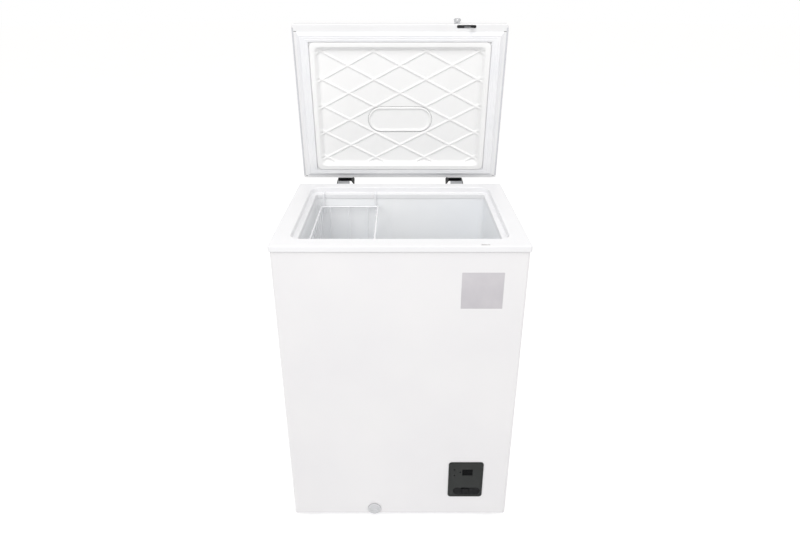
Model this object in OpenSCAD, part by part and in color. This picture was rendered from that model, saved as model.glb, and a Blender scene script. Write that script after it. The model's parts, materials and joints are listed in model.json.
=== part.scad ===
// Small chest freezer with its lid open: a foamed steel cabinet over a metal tub, a moulded rim,
// a sprung lid, a sliding wire basket, a lid lock, a control panel, drain fittings and a
// hermetic cooling unit. Millimetres, +Z up. The lid is drawn shut and turned to its open angle.

/* [Cabinet] */
// Width of the steel cabinet
body_w = 565; // [520:5:680]
// Depth of the steel cabinet, front face to back face
body_d = 427; // [400:1:520]
// Height of the front panel, from its bottom edge to the underside of the rim
panel_h = 777; // [650:1:940]
// Height of the cabinet's bottom edge above the floor
foot_h = 15; // [8:1:30]
// Thickness of the painted steel sheet
sheet_t = 0.8; // [0.6:0.1:1.2]
// Radius of the cabinet's vertical front corners
corner_r = 6; // [4:0.5:10]
// Width of the sheet's folded returns
return_w = 12; // [8:1:16]

/* [Rim] */
// How far the rim and the lid stand out past the cabinet
rim_lip = 3.2; // [2:0.1:6]
// Height of the rim's outer band
rim_h = 14; // [10:0.5:20]
// Thickness of the rim's top and band
rim_t = 3; // [2:0.5:4]
// Width of the rim's top at the two sides
rim_side = 40.7; // [38:0.1:50]
// Width of the rim's top at the front
rim_front = 42; // [40:0.5:55]
// Width of the rim's top at the back
rim_back = 36.2; // [34:0.1:45]
// Corner radius of the opening
opening_r = 24; // [20:1:30]
// Width of the ledge that carries the basket
ledge_w = 12.5; // [9:0.5:15]
// Drop from the top of the rim to the ledge
ledge_drop = 15; // [11:1:20]
// Drop from the top of the rim to the end of the apron
apron_drop = 28; // [22:1:36]
// Thickness of the ledge and the apron
apron_t = 2; // [1.5:0.5:3]

/* [Tub] */
// Height of the tub's floor above the cabinet's bottom edge
tub_floor = 45; // [40:1:60]
// Thickness of the tub's sheet
liner_t = 0.8; // [0.5:0.1:1.2]
// Width of the compressor bay, inside
bay_w = 193; // [178:1:215]
// Height of the compressor bay, inside
bay_h = 225; // [200:1:260]
// Foam between the bay and the tub's step
step_foam = 40; // [30:1:50]

/* [Lid] */
// Angle at which the lid stands open
open_angle = 84.2; // [60:0.1:88]
// Height of the lid's steel skirt
lid_h = 38; // [34:1:60]
// Gap between the rim and the lid's flange when shut
seal_gap = 8; // [6:0.5:10]
// Radius of the lid's top edges
lid_r = 6; // [4:0.5:8]
// Width of the lid's folded flange at the sides
flange_side = 11; // [9:0.5:14]
// Width of the lid's folded flange at the front
flange_front = 18.6; // [17:0.1:22]
// Width of the lid's folded flange at the back
flange_back = 7.5; // [6:0.5:12]
// Width of the seal at the sides
seal_side = 32.7; // [30:0.1:36]
// Width of the seal at the front
seal_front = 25.9; // [22:0.1:30]
// Width of the seal at the back
seal_back = 21.5; // [20:0.5:26]
// Thickness of the lid's moulded inner panel
panel_t = 1.5; // [1.2:0.1:2]
// Width of the raised bead round the inner panel
bead_w = 10; // [7:0.5:14]
// Depth of the recess inside the bead
recess_depth = 14; // [9:0.5:18]
// Width of the recess's sloping wall
recess_slope = 13; // [9:1:17]
// Distance of the outermost rib crossings from the edge of the recess
rib_margin = 19; // [17:1:24]
// Diamonds across the recess
diamonds_x = 3; // [2:1:5]
// Diamonds from back to front of the recess
diamonds_y = 4; // [2:1:6]
// Width of a diamond rib at its foot
rib_w = 5.5; // [4:0.5:8]
// Height of a diamond rib
rib_h = 2.6; // [1.5:0.1:4]
// Length of the oval pad among the ribs
oval_w = 178; // [120:1:200]
// Height of the oval pad among the ribs
oval_h = 70; // [50:1:80]
// How far the oval's centre lies behind the middle of the recess
oval_back = 33; // [20:1:50]

/* [Hinges] */
// Distance of each hinge's middle from the side of the cabinet
hinge_side = 119.5; // [80:0.5:160]
// Distance of the hinge pin behind the cabinet's back
hinge_back = 35.4; // [32:0.1:42]
// Distance of the hinge pin below the top of the rim
hinge_drop = 45.6; // [40:0.1:52]
// Width of the cabinet bracket
bracket_w = 33; // [30:1:36]
// Width of the lid arm at its top
arm_w = 38; // [36:1:42]
// How far each cheek of the lid arm is set out
arm_flare = 6.5; // [5:0.5:8]
// Radius of the hinge pin
pin_r = 4; // [3:0.5:5]
// Thickness of the hinge plates
plate_t = 2; // [1.5:0.5:3]

/* [Basket] */
// Width of the basket
basket_w = 157; // [120:1:190]
// Depth of the basket, top wire to bottom wire
basket_h = 185; // [120:5:230]
// Distance of the basket's top wire below the rim's top
basket_drop = 49; // [42:1:60]
// Distance of the basket's left rail from the left side of the opening
basket_side = 26.5; // [14:0.5:60]
// Radius of the rails and hanger wires
rail_r = 2.4; // [2:0.1:3]
// Radius of the thin wires
wire_r = 1.5; // [1.2:0.1:2]

/* [Controls] */
// Width of the control panel
ctrl_w = 90; // [80:1:110]
// Height of the control panel
ctrl_h = 118; // [105:1:130]
// Distance of the control panel's middle from the cabinet's right side
ctrl_side = 111.5; // [75:0.5:130]
// Height of the control panel's middle above the cabinet's bottom edge
ctrl_z = 120.5; // [100:0.5:150]
// Distance of the drain from the middle, to the left
drain_x = 68.5; // [40:0.5:120]
// Radius of the outer drain cap
cap_r = 17.5; // [14:0.5:17.5]
// Distance of the lock slot's middle from the cabinet's right side
lock_side = 108; // [60:0.5:150]
// Length of the lock's slot
lock_len = 51; // [46:1:60]

/* [Hidden] */
$fn = 48;

white = "#f4f4f6";
panel_white = "#eeedf0";
tub_grey = "#c9ced8";
zinc = "#b9bcc0";
dark = "#3f4042";
black = "#111214";
copper = "#b5683c";
foam_tan = "#e3d29a";
cap_grey = "#d4d4d6";

eps = 0.01;
fit = 0.3;        // gap between neighbours that move or are only laid together
run = 0.05;       // radial clearance of a turning pin
snug = 0.1;       // gap of a part set in its seat
swell = 0.08;     // how much thicker a tube is in its bends

// heights
shell_z = foot_h;
rim_z = shell_z + panel_h;
rim_top = rim_z + rim_h;
foam_top = rim_top - rim_t;
ledge_z = rim_top - ledge_drop;
floor_z = shell_z + tub_floor;
bay_top = shell_z + bay_h;
pan_z = shell_z + sheet_t;
lid_z = rim_top + seal_gap;
lid_top = lid_z + lid_h;
hinge_z = rim_top - hinge_drop;

// plan sizes; the front face of the cabinet is y = 0
half_w = body_w / 2;
in_x = half_w - sheet_t;
in_y0 = sheet_t;
in_y1 = body_d - sheet_t;
rim_x = half_w + rim_lip;
rim_y0 = -rim_lip;
rim_y1 = body_d + rim_lip;
open_x = rim_x - rim_side;
open_y0 = rim_y0 + rim_front;
open_y1 = rim_y1 - rim_back;
tub_x = open_x - ledge_w + apron_t + snug;
tub_y0 = open_y0 + ledge_w - apron_t - snug;
tub_y1 = open_y1 - ledge_w + apron_t + snug;
tub_r = opening_r - ledge_w + apron_t;
bay_x = in_x - bay_w;
step_x = bay_x - step_foam;
step_z = bay_top + step_foam;
hinge_y = body_d + hinge_back;
hinge_x = half_w - hinge_side;
ctrl_x = half_w - ctrl_side;
lock_x = half_w - lock_side;

// the origin stands under the middle of the whole outline, with the lid open
cap_out = 8;
back_out = hinge_y + (rim_y1 - lid_r - hinge_y) * cos(open_angle)
  + (lid_top - lid_r - hinge_z) * sin(open_angle) + lid_r;
front_shift = -(back_out - max(cap_out, rim_lip)) / 2;

module cabinet_place() {
  translate([0, front_shift, 0])
    children();
}

module lid_place() {
  cabinet_place()
    translate([0, hinge_y, hinge_z])
      rotate([-open_angle, 0, 0])
        translate([0, -hinge_y, -hinge_z])
          children();
}

// shared shapes

module round_rect(x0, y0, x1, y1, r) {
  translate([x0 + r, y0])
    square([x1 - x0 - 2 * r, y1 - y0]);
  translate([x0, y0 + r])
    square([x1 - x0, y1 - y0 - 2 * r]);
  for (x = [x0 + r, x1 - r], y = [y0 + r, y1 - r])
    translate([x, y])
      circle(r);
}

module slab(x0, y0, x1, y1, r, z0, z1) {
  translate([0, 0, z0])
    linear_extrude(z1 - z0)
      round_rect(x0, y0, x1, y1, r);
}

module box(x0, y0, z0, x1, y1, z1) {
  translate([x0, y0, z0])
    cube([x1 - x0, y1 - y0, z1 - z0]);
}

module rod(p, q, r) {
  v = q - p;
  len = norm(v);
  translate(p)
    rotate([0, acos(v[2] / len), atan2(v[1], v[0])])
      cylinder(h = len, r = r);
}

// a bar or tube along points, turned at each corner with the centre-line radius bend
module pipe(points, r, bend) {
  n = len(points);
  dir = [for (i = [0 : n - 2]) (points[i + 1] - points[i]) / norm(points[i + 1] - points[i])];
  turn = [for (i = [1 : n - 2]) acos(dir[i - 1] * dir[i])];
  cut = [for (t = turn) bend * tan(t / 2)];
  into = 0.3;
  start = concat([0], [for (c = cut) c - into], [0]);
  for (i = [0 : n - 2])
    rod(points[i] + dir[i] * start[i], points[i + 1] - dir[i] * start[i + 1], r);
  for (i = [1 : n - 2]) {
    u = dir[i - 1];
    out = (u * cos(turn[i - 1]) - dir[i]) / sin(turn[i - 1]);
    up = cross(out, u);
    o = points[i] - u * cut[i - 1] - out * bend;
    multmatrix([[out[0], u[0], up[0], o[0]],
                [out[1], u[1], up[1], o[1]],
                [out[2], u[2], up[2], o[2]]])
      rotate_extrude(angle = turn[i - 1])
        translate([bend, 0])
          circle(r + swell, $fn = 24);
  }
}

// a cylinder along +Y from y0 to y1
module bar_y(x, z, y0, y1, r) {
  translate([x, y0, z])
    rotate([-90, 0, 0])
      cylinder(h = y1 - y0, r = r);
}

module bar_x(y, z, x0, x1, r) {
  translate([x0, y, z])
    rotate([0, 90, 0])
      cylinder(h = x1 - x0, r = r);
}

// a pan-head screw driven along -Y, with the underside of its head at y
module screw_back(x, y, z, shank_r, shank_len) {
  head_r = 1.9 * shank_r;
  bar_y(x, z, y - shank_len, y + eps, shank_r);
  difference() {
    bar_y(x, z, y, y + shank_r, head_r);
    for (a = [0, 90])
      translate([x, y + shank_r, z])
        rotate([0, a, 0])
          cube([1.2 * head_r, shank_r, 0.35 * shank_r], center = true);
  }
}

// the cabinet's plan, rounded at the front and square at the back, g outside its faces
module cabinet_form(g, z0, z1) {
  difference() {
    slab(-half_w - g, -g, half_w + g, body_d + 4 * corner_r, corner_r + g, z0, z1);
    box(-body_w, body_d + g, z0 - 1, body_w, body_d + 5 * corner_r, z1 + 1);
  }
}

// ---- cabinet ----

ctrl_inset = 3.6;
ctrl_zc = shell_z + ctrl_z;
ctrl_x0 = ctrl_x - ctrl_w / 2;
ctrl_x1 = ctrl_x + ctrl_w / 2;
ctrl_z0 = ctrl_zc - ctrl_h / 2;
ctrl_z1 = ctrl_zc + ctrl_h / 2;
drain_z = shell_z + cap_r;
tube_r = 9;
bore_r = 6.5;

module outer_shell() color(panel_white) cabinet_place() {
  difference() {
    cabinet_form(0, shell_z, foam_top);
    // the inside, up to the returns on the back edges
    difference() {
      cabinet_form(-sheet_t, pan_z, foam_top + 1);
      box(-body_w, in_y1 - sheet_t, 0, body_w, 2 * body_d, 2 * rim_top);
    }
    box(-in_x + return_w, in_y1 - 2 * sheet_t, pan_z, in_x - return_w, 2 * body_d, 2 * rim_top);
    box(-in_x, in_y1, pan_z, in_x, 2 * body_d, 2 * rim_top);
    // inside the returns on the bottom edges
    box(-in_x + return_w, in_y0 + return_w, 0, in_x - return_w, 2 * body_d, pan_z + 1);
    slab_y(ctrl_x0 + ctrl_inset - fit, ctrl_z0 + ctrl_inset - fit, ctrl_x1 - ctrl_inset + fit,
           ctrl_z1 - ctrl_inset + fit, 3, -1, 2 * sheet_t);
    bar_y(-drain_x, drain_z, -1, 2 * sheet_t, tube_r + snug);
    cover_holes(cover_screw_r + snug);
  }
}

bracket_z0 = hinge_z - 105;
bracket_z1 = rim_z - 2;
screw_dx = bracket_w / 2 + 8;
screw_zs = [bracket_z0 + 10, hinge_z - 35];
plate_zs = [bracket_z0 - 4, hinge_z - 20];
shank = 2.4;
plate_half = bracket_w / 2 + 18;

module bracket_holes(r) {
  for (s = [-1, 1], d = [-1, 1], z = screw_zs)
    bar_y(s * hinge_x + d * screw_dx, z, body_d - 12, body_d + 8, r);
}

cover_x0 = bay_x + 9;
cover_x1 = in_x - return_w - 2;
cover_z0 = shell_z + 8;
cover_z1 = bay_top - 6;
cover_lap = 8;
cover_screw_r = 1.7;
cover_screw_xs = [cover_x0 - 4, cover_x1 + 6];
cover_screw_zs = [cover_z0 + 20, (cover_z0 + cover_z1) / 2, cover_z1 - 20];

module cover_holes(r) {
  for (x = cover_screw_xs, z = cover_screw_zs)
    bar_y(x, z, body_d - 8, body_d + 4, r);
}

module back_panel() color(zinc) cabinet_place() {
  difference() {
    box(-in_x + snug, in_y1, pan_z, in_x - snug, body_d, foam_top);
    box(cover_x0, in_y1 - 1, cover_z0, cover_x1, body_d + 1, cover_z1);
    bracket_holes(shank + snug);
    cover_holes(cover_screw_r + snug);
  }
}

foot_inset_x = 42;
foot_inset_y = 40;
foot_xs = [-half_w + foot_inset_x, half_w - foot_inset_x];
foot_ys = [foot_inset_y, body_d - foot_inset_y];
foot_screw_r = 3;

module foot_holes(r) {
  for (x = foot_xs, y = foot_ys)
    translate([x, y, 0])
      cylinder(h = pan_z + 4 * sheet_t, r = r);
}

module base_pan() color(zinc) cabinet_place() {
  difference() {
    union() {
      slab(-in_x + snug, in_y0 + snug, bay_x + corner_r, in_y1 - sheet_t - snug,
           corner_r - sheet_t, pan_z, pan_z + sheet_t);
      for (y = [100, 213, 326])
        box(-in_x + 40, y - 8, pan_z, bay_x - 40, y + 8, pan_z + sheet_t + 3);
    }
    for (y = [100, 213, 326])
      box(-in_x + 41, y - 7, pan_z - 1, bay_x - 41, y + 7, pan_z + 3);
    box(bay_x - sheet_t - snug, -1, 0, body_w, body_d + 1, 2 * pan_z);
    foot_holes(foot_screw_r + snug);
  }
}

tray_t = 1.5;
tray_z = pan_z + tray_t;
comp_x = bay_x + bay_w / 2;
comp_y = 245;
comp_dx = 62;
comp_dy = 46;
comp_bolt_r = 3;
grommet_h = 14;

module tray_bolt_holes(r, z0, z1) {
  for (x = [comp_x - comp_dx, comp_x + comp_dx], y = [comp_y - comp_dy, comp_y + comp_dy])
    translate([x, y, z0])
      cylinder(h = z1 - z0, r = r);
}

module compressor_tray() color(zinc) cabinet_place() {
  difference() {
    union() {
      box(bay_x, in_y0 + corner_r, pan_z, in_x - snug, in_y1 - sheet_t - snug, tray_z);
      box(bay_x, in_y0 + corner_r, pan_z, bay_x + tray_t, in_y1 - sheet_t - snug, tray_z + 12);
      box(in_x - snug - tray_t, in_y0 + corner_r, pan_z,
          in_x - snug, in_y1 - sheet_t - snug - return_w, tray_z + 12);
    }
    tray_bolt_holes(comp_bolt_r + snug, 0, 2 * tray_z);
    foot_holes(foot_screw_r + snug);
    for (y = [60 : 22 : 148])
      slab(comp_x - 45, y, comp_x + 45, y + 8, 3.9, 0, 2 * tray_z);
  }
}

// foam space: everything between the steel and the tub
module tub_space(g) {
  difference() {
    slab(-tub_x - g, tub_y0 - g, tub_x + g, tub_y1 + g, tub_r + g,
         floor_z - g, ledge_z - apron_t);
    box(step_x + g, 0, 0, body_w, body_d, step_z - g);
  }
}

evap_r = 4;
evap_x = tub_x + liner_t + evap_r + snug;
evap_y0 = tub_y0 - liner_t - evap_r - snug;
evap_y1 = tub_y1 - 52;
evap_n = 7;
evap_pitch = 58;
evap_z = step_z + 48;
cond_r = 2.5;
cond_x = in_x - cond_r - snug;
cond_y0 = in_y0 + cond_r + snug;
cond_y1 = body_d - 55;
cond_n = 6;
cond_pitch = 72;
cond_z = step_z + 36;
groove_gap = 0.4;

// a tube wrapped round three walls, run after run, joined by half turns at its back ends
module wrap_coil(x, y0, y1, bend_r, r, z0, n, pitch) {
  for (i = [0 : n - 1])
    translate([0, 0, z0 + i * pitch]) {
      for (s = [-1, 1]) {
        bar_y(s * x, 0, y0 + bend_r, y1, r);
        translate([s * (x - bend_r), y0 + bend_r, 0])
          rotate([0, 0, s < 0 ? 180 : 270])
            rotate_extrude(angle = 90)
              translate([bend_r, 0])
                circle(r, $fn = 24);
      }
      bar_x(y0, 0, -x + bend_r, x - bend_r, r);
    }
  for (i = [0 : n - 2])
    translate([(i % 2 == 0 ? -1 : 1) * x, y1, z0 + (i + 0.5) * pitch])
      rotate([90, 0, 90])
        rotate([0, 0, -90])
          rotate_extrude(angle = 180)
            translate([pitch / 2, 0])
              circle(r, $fn = 24);
}

// the groove that the coil leaves in the foam, open towards the sheet it is fixed to
module wrap_groove(x, y0, y1, w, bend_r, z0, n, pitch) {
  for (i = [0 : n - 1])
    translate([0, 0, z0 + i * pitch]) {
      for (s = [-1, 1]) {
        box(s * x - w, y0 - w, -w, s * x + w, y1 + w, w);
        box(s * (x - bend_r / 2) - bend_r / 2, y0 - w, -w, s * (x - bend_r / 2) + bend_r / 2,
            y0 + bend_r, w);
      }
      box(-x, y0 - w, -w, x, y0 + w, w);
    }
  for (i = [0 : n - 2])
    box((i % 2 == 0 ? -1 : 1) * x - w, y1, z0 + i * pitch - w,
        (i % 2 == 0 ? -1 : 1) * x + w, y1 + pitch / 2 + w, z0 + (i + 1) * pitch + w);
}

module tail_groove(x, y, w, z) {
  box(x - w, y, bay_top, x + w, y + 20 + w, z + w);
}

evap_bend = tub_r + liner_t + evap_r + snug;
cond_bend = 14;
tail_z = bay_top - 30;

module evaporator_coil() color(copper) cabinet_place() {
  wrap_coil(evap_x, evap_y0, evap_y1, evap_bend, evap_r, evap_z, evap_n, evap_pitch);
  pipe([[evap_x, evap_y1, evap_z], [evap_x, evap_y1 + 20, evap_z], [evap_x, evap_y1 + 20, tail_z]],
       evap_r, 12);
}

module condenser_coil() color(copper) cabinet_place() {
  wrap_coil(cond_x, cond_y0, cond_y1, cond_bend, cond_r, cond_z, cond_n, cond_pitch);
  pipe([[cond_x, cond_y1, cond_z], [cond_x, cond_y1 + 20, cond_z], [cond_x, cond_y1 + 20, tail_z]],
       cond_r, 12);
}

probe_r = 3;
probe_x = tub_x + liner_t + probe_r + snug;
probe_z = step_z + 20;

module insulation_foam() color(foam_tan) cabinet_place() {
  difference() {
    cabinet_form(-sheet_t, pan_z + sheet_t, foam_top);
    tub_space(liner_t);
    slab(-open_x - apron_t, open_y0 - apron_t, open_x + apron_t, open_y1 + apron_t,
         opening_r + apron_t, ledge_z - apron_t - eps, rim_top);
    box(bay_x - sheet_t, 0, 0, body_w, body_d, bay_top + sheet_t);
    // folded returns and the pan's pressings
    for (s = [-1, 1])
      box(s < 0 ? -in_x - 1 : in_x - return_w - snug, in_y1 - sheet_t - snug, 0,
          s < 0 ? -in_x + return_w + snug : in_x + 1, body_d, rim_top);
    for (y = [100, 213, 326])
      box(-in_x + 39, y - 9, pan_z, bay_x - 39, y + 9, pan_z + sheet_t + 3.1);
    for (x = foot_xs, y = foot_ys)
      translate([x, y, pan_z])
        cylinder(h = 12, r = 6);
    // grooves of the coils, their tails and the probe
    wrap_groove(evap_x, evap_y0, evap_y1, evap_r + groove_gap, evap_bend, evap_z, evap_n,
                evap_pitch);
    tail_groove(evap_x, evap_y1, evap_r + groove_gap, evap_z);
    wrap_groove(cond_x, cond_y0, cond_y1, cond_r + groove_gap, cond_bend, cond_z, cond_n,
                cond_pitch);
    tail_groove(cond_x, cond_y1, cond_r + groove_gap, cond_z);
    box(probe_x - probe_r - groove_gap, 170, probe_z - probe_r - groove_gap,
        probe_x + probe_r + groove_gap, 250, probe_z + probe_r + groove_gap);
    // drain, hinge backing plates and the lock's keeper pocket
    drain_form(tube_r + eps);
    for (s = [-1, 1])
      box(s * hinge_x - plate_half - snug, in_y1 - 8, plate_zs[0] - snug,
          s * hinge_x + plate_half + snug, in_y1 + 1, plate_zs[1] + snug);
    keeper_pocket();
  }
}

drain_y = tub_y0 + 32;

module drain_form(r) {
  translate([-drain_x, drain_y, drain_z])
    cylinder(h = floor_z - drain_z + eps, r = r);
  translate([-drain_x, drain_y, drain_z])
    sphere(r);
  bar_y(-drain_x, drain_z, 0, drain_y, r);
}

module tub_liner() color(tub_grey) cabinet_place() {
  difference() {
    tub_space(liner_t);
    translate([0, 0, eps])
      tub_space(0);
    slab(-tub_x, tub_y0, tub_x, tub_y1, tub_r, ledge_z - apron_t - 1, ledge_z + 1);
    translate([-drain_x, drain_y, floor_z - 4])
      cylinder(h = 8, r = tube_r + eps);
  }
}

keeper_x = lock_x + lock_len / 2 - 15;
keeper_w = 20;
hook_y = rim_y0 + 7.8;
keeper_y = 5.4;

module keeper_pocket() {
  box(keeper_x - keeper_w / 2 - 14, hook_y - 5, foam_top - 10,
      keeper_x + keeper_w / 2 + 3, hook_y + 5, rim_top);
}

module rim_frame() color(white) cabinet_place() {
  difference() {
    union() {
      slab(-rim_x, rim_y0, rim_x, rim_y1, corner_r, foam_top, rim_top);
      slab(-rim_x, rim_y0, rim_x, rim_y1, corner_r, rim_z, rim_top);
    }
    cabinet_form(snug, rim_z - 1, foam_top);
    slab(-open_x, open_y0, open_x, open_y1, opening_r, foam_top - 1, rim_top + 1);
    slab(keeper_x - keeper_w / 2, hook_y - keeper_y / 2, keeper_x + keeper_w / 2,
         hook_y + keeper_y / 2, keeper_y / 2 - eps, foam_top - 1, rim_top + 1);
  }
  difference() {
    slab(-open_x - apron_t, open_y0 - apron_t, open_x + apron_t, open_y1 + apron_t,
         opening_r + apron_t, ledge_z - apron_t, foam_top + eps);
    slab(-open_x, open_y0, open_x, open_y1, opening_r, ledge_z, rim_top);
    slab(-open_x + ledge_w, open_y0 + ledge_w, open_x - ledge_w, open_y1 - ledge_w,
         opening_r - ledge_w, ledge_z - 2 * apron_t, rim_top);
  }
  difference() {
    slab(-open_x + ledge_w - apron_t, open_y0 + ledge_w - apron_t,
         open_x - ledge_w + apron_t, open_y1 - ledge_w + apron_t,
         opening_r - ledge_w + apron_t, rim_top - apron_drop, ledge_z - apron_t + eps);
    slab(-open_x + ledge_w, open_y0 + ledge_w, open_x - ledge_w, open_y1 - ledge_w,
         opening_r - ledge_w, 0, rim_top);
  }
}

module bay_partition() color(zinc) cabinet_place() {
  difference() {
    slab(bay_x - sheet_t, in_y0 + snug, in_x - snug, in_y1 - sheet_t - snug, corner_r - sheet_t,
         tray_z, bay_top + sheet_t);
    box(bay_x, 0, 0, body_w, body_d, bay_top);
    translate([evap_x, evap_y1 + 20, bay_top - 1])
      cylinder(h = 3, r = evap_r + groove_gap);
    translate([cond_x, cond_y1 + 20, bay_top - 1])
      cylinder(h = 3, r = cond_r + groove_gap);
  }
}

module feet() color(dark) cabinet_place() {
  for (x = foot_xs, y = foot_ys)
    translate([x, y, 0])
      rotate_extrude()
        polygon([[foot_screw_r + snug, 5], [9, 5], [9, 0], [15, 0], [16.5, 1.5], [18, 6],
                 [21, pan_z - 3], [21, pan_z], [foot_screw_r + snug, pan_z]]);
}

module foot_screws() color(zinc) cabinet_place() {
  for (x = foot_xs, y = foot_ys)
    translate([x, y, 0]) {
      translate([0, 0, 2])
        cylinder(h = 3, r = 5.5, $fn = 6);
      translate([0, 0, 3])
        cylinder(h = pan_z + 4, r = foot_screw_r);
    }
}

// ---- cooling unit ----

comp_z = tray_z + grommet_h;
comp_r = 62;
comp_h = 150;

module compressor() color(black) cabinet_place() {
  translate([comp_x, comp_y, comp_z + 3])
    rotate_extrude($fn = 64)
      polygon(concat(
        [[0, 0], [comp_r * 0.55, 0]],
        [for (a = [-80 : 20 : 0]) [comp_r - 20 + 20 * cos(a), 20 + 20 * sin(a)]],
        [[comp_r, 66], [comp_r + 3, 66], [comp_r + 3, 74], [comp_r, 74]],
        [for (a = [0 : 15 : 90]) [comp_r * cos(a), comp_h - 52 + 52 * sin(a)]]
      ));
  difference() {
    translate([0, 0, comp_z])
      linear_extrude(3.5)
        round_rect(comp_x - comp_dx - 12, comp_y - comp_dy - 12,
                   comp_x + comp_dx + 12, comp_y + comp_dy + 12, 12);
    tray_bolt_holes(6.2, comp_z - 1, comp_z + 6);
  }
}

module compressor_grommets() color(black) cabinet_place() {
  for (x = [comp_x - comp_dx, comp_x + comp_dx], y = [comp_y - comp_dy, comp_y + comp_dy])
    translate([x, y, tray_z])
      rotate_extrude()
        polygon([[comp_bolt_r + snug, 0], [10, 0], [10, 4], [8, 6], [10, 8],
                 [10, grommet_h - snug], [6, grommet_h - snug], [6, grommet_h + 4],
                 [8.5, grommet_h + 4], [8.5, grommet_h + 7], [comp_bolt_r + snug, grommet_h + 7]]);
}

module compressor_bolts() color(zinc) cabinet_place() {
  for (x = [comp_x - comp_dx, comp_x + comp_dx], y = [comp_y - comp_dy, comp_y + comp_dy])
    translate([x, y, 0]) {
      translate([0, 0, pan_z - 3])
        cylinder(h = 3, r = 5.5, $fn = 6);
      translate([0, 0, pan_z - 1])
        cylinder(h = grommet_h + 14, r = comp_bolt_r);
      translate([0, 0, tray_z + grommet_h + 7])
        cylinder(h = 3, r = 6);
    }
}

starter_z = comp_z + 40;

module starter_box() color(dark) cabinet_place() {
  difference() {
    translate([0, 0, starter_z])
      linear_extrude(52)
        round_rect(comp_x - 26, comp_y + comp_r - 18, comp_x + 26, comp_y + comp_r + 24, 5);
    translate([comp_x, comp_y, 0])
      cylinder(h = 2 * starter_z, r = comp_r + 3 + snug, $fn = 64);
  }
}

drier_x = bay_x + 24;
drier_y = body_d - 60;
drier_z0 = tray_z + 50;
drier_z1 = drier_z0 + 92;

module filter_drier() color(copper) cabinet_place() {
  translate([drier_x, drier_y, 0])
    rotate_extrude()
      polygon([[0, drier_z0 - 12], [2.5, drier_z0 - 12], [2.5, drier_z0], [10, drier_z0 + 12],
               [10, drier_z1 - 12], [2.5, drier_z1], [2.5, drier_z1 + 12], [0, drier_z1 + 12]]);
}

stub_z = comp_z + 58;

module suction_line() color(copper) cabinet_place() {
  difference() {
    pipe([[comp_x + 30, comp_y + 40, stub_z], [comp_x + 62, comp_y + 78, stub_z],
          [evap_x, evap_y1 + 20, stub_z], [evap_x, evap_y1 + 20, tail_z]], evap_r, 14);
    translate([comp_x, comp_y, 0])
      cylinder(h = 2 * stub_z, r = comp_r + 3 + snug, $fn = 64);
  }
}

module discharge_line() color(copper) cabinet_place() {
  difference() {
    pipe([[comp_x + 30, comp_y - 30, stub_z + 40], [in_x - 20, comp_y - 60, stub_z + 40],
          [in_x - 20, comp_y + 60, tail_z - 40], [cond_x, cond_y1 + 20, tail_z - 30],
          [cond_x, cond_y1 + 20, tail_z]], cond_r, 8);
    translate([comp_x, comp_y, 0])
      cylinder(h = 3 * stub_z, r = comp_r + snug, $fn = 64);
  }
}

module liquid_line() color(copper) cabinet_place() {
  pipe([[drier_x, drier_y, drier_z1 + 12], [drier_x, drier_y, bay_top - 16],
        [drier_x + 30, drier_y, bay_top - 16], [drier_x + 30, drier_y - 60, bay_top - 3]], 2.5, 8);
  pipe([[drier_x, drier_y, drier_z0 - 12], [drier_x, drier_y, tray_z + 20],
        [bay_x + 4, drier_y, tray_z + 20]], 2.5, 8);
}

module probe_tube() color(copper) cabinet_place() {
  bar_y(probe_x, probe_z, 172, 248, probe_r);
}

louvre_w = 66;
louvre_n = 9;

module rear_cover() color(zinc) cabinet_place() {
  mid = (cover_x0 + cover_x1) / 2;
  difference() {
    union() {
      slab_y(cover_x0 - cover_lap, cover_z0 - 5, cover_x1 + cover_lap + 2, cover_z1 + cover_lap,
             6, body_d + snug, body_d + 1 + snug);
      box(cover_x0 + fit, body_d - 9, cover_z0 + fit, cover_x1 - fit, body_d + snug + eps,
          cover_z1 - fit);
    }
    box(cover_x0 + fit + 1, body_d - 10, cover_z0 + fit + 1, cover_x1 - fit - 1, body_d + snug,
        cover_z1 - fit - 1);
    for (s = [-1, 1], i = [0 : louvre_n - 1])
      slab_y(mid + s * 40 - louvre_w / 2, cover_z0 + 24 + i * 19, mid + s * 40 + louvre_w / 2,
             cover_z0 + 28 + i * 19, 1.9, body_d - 1, body_d + 3);
    bar_y(mid + 68, cover_z0 + 13, body_d - 2, body_d + 4, 6 + snug);
    cover_holes(cover_screw_r + snug);
  }
  for (s = [-1, 1], i = [0 : louvre_n - 1])
    translate([mid + s * 40 - louvre_w / 2, body_d + 1, cover_z0 + 28 + i * 19])
      rotate([90, 0, 90])
        linear_extrude(louvre_w)
          polygon([[0, 1.2], [0, 3.4], [4.4, -1.4], [3.6, -2.2]]);
}

// a rounded plate that stands upright, between y0 and y1
module slab_y(x0, z0, x1, z1, r, y0, y1) {
  translate([0, y1, 0])
    rotate([90, 0, 0])
      linear_extrude(y1 - y0)
        round_rect(x0, z0, x1, z1, r);
}

module rear_cover_screws() color(zinc) cabinet_place() {
  for (x = cover_screw_xs, z = cover_screw_zs)
    screw_back(x, body_d + 1 + snug, z, cover_screw_r, 8);
}

module cord_gland() color(black) cabinet_place() {
  mid = (cover_x0 + cover_x1) / 2;
  translate([mid + 68, body_d + 1 + snug, cover_z0 + 13])
    rotate([90, 0, 0])
      rotate_extrude()
        polygon([[3.6, -10], [5, -10], [7, -2], [9, -1], [9, 0], [6, 0], [6, 1 + snug],
                 [8, 1 + snug], [8, 3.5], [3.6, 3.5]]);
}

// ---- control panel ----

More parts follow.
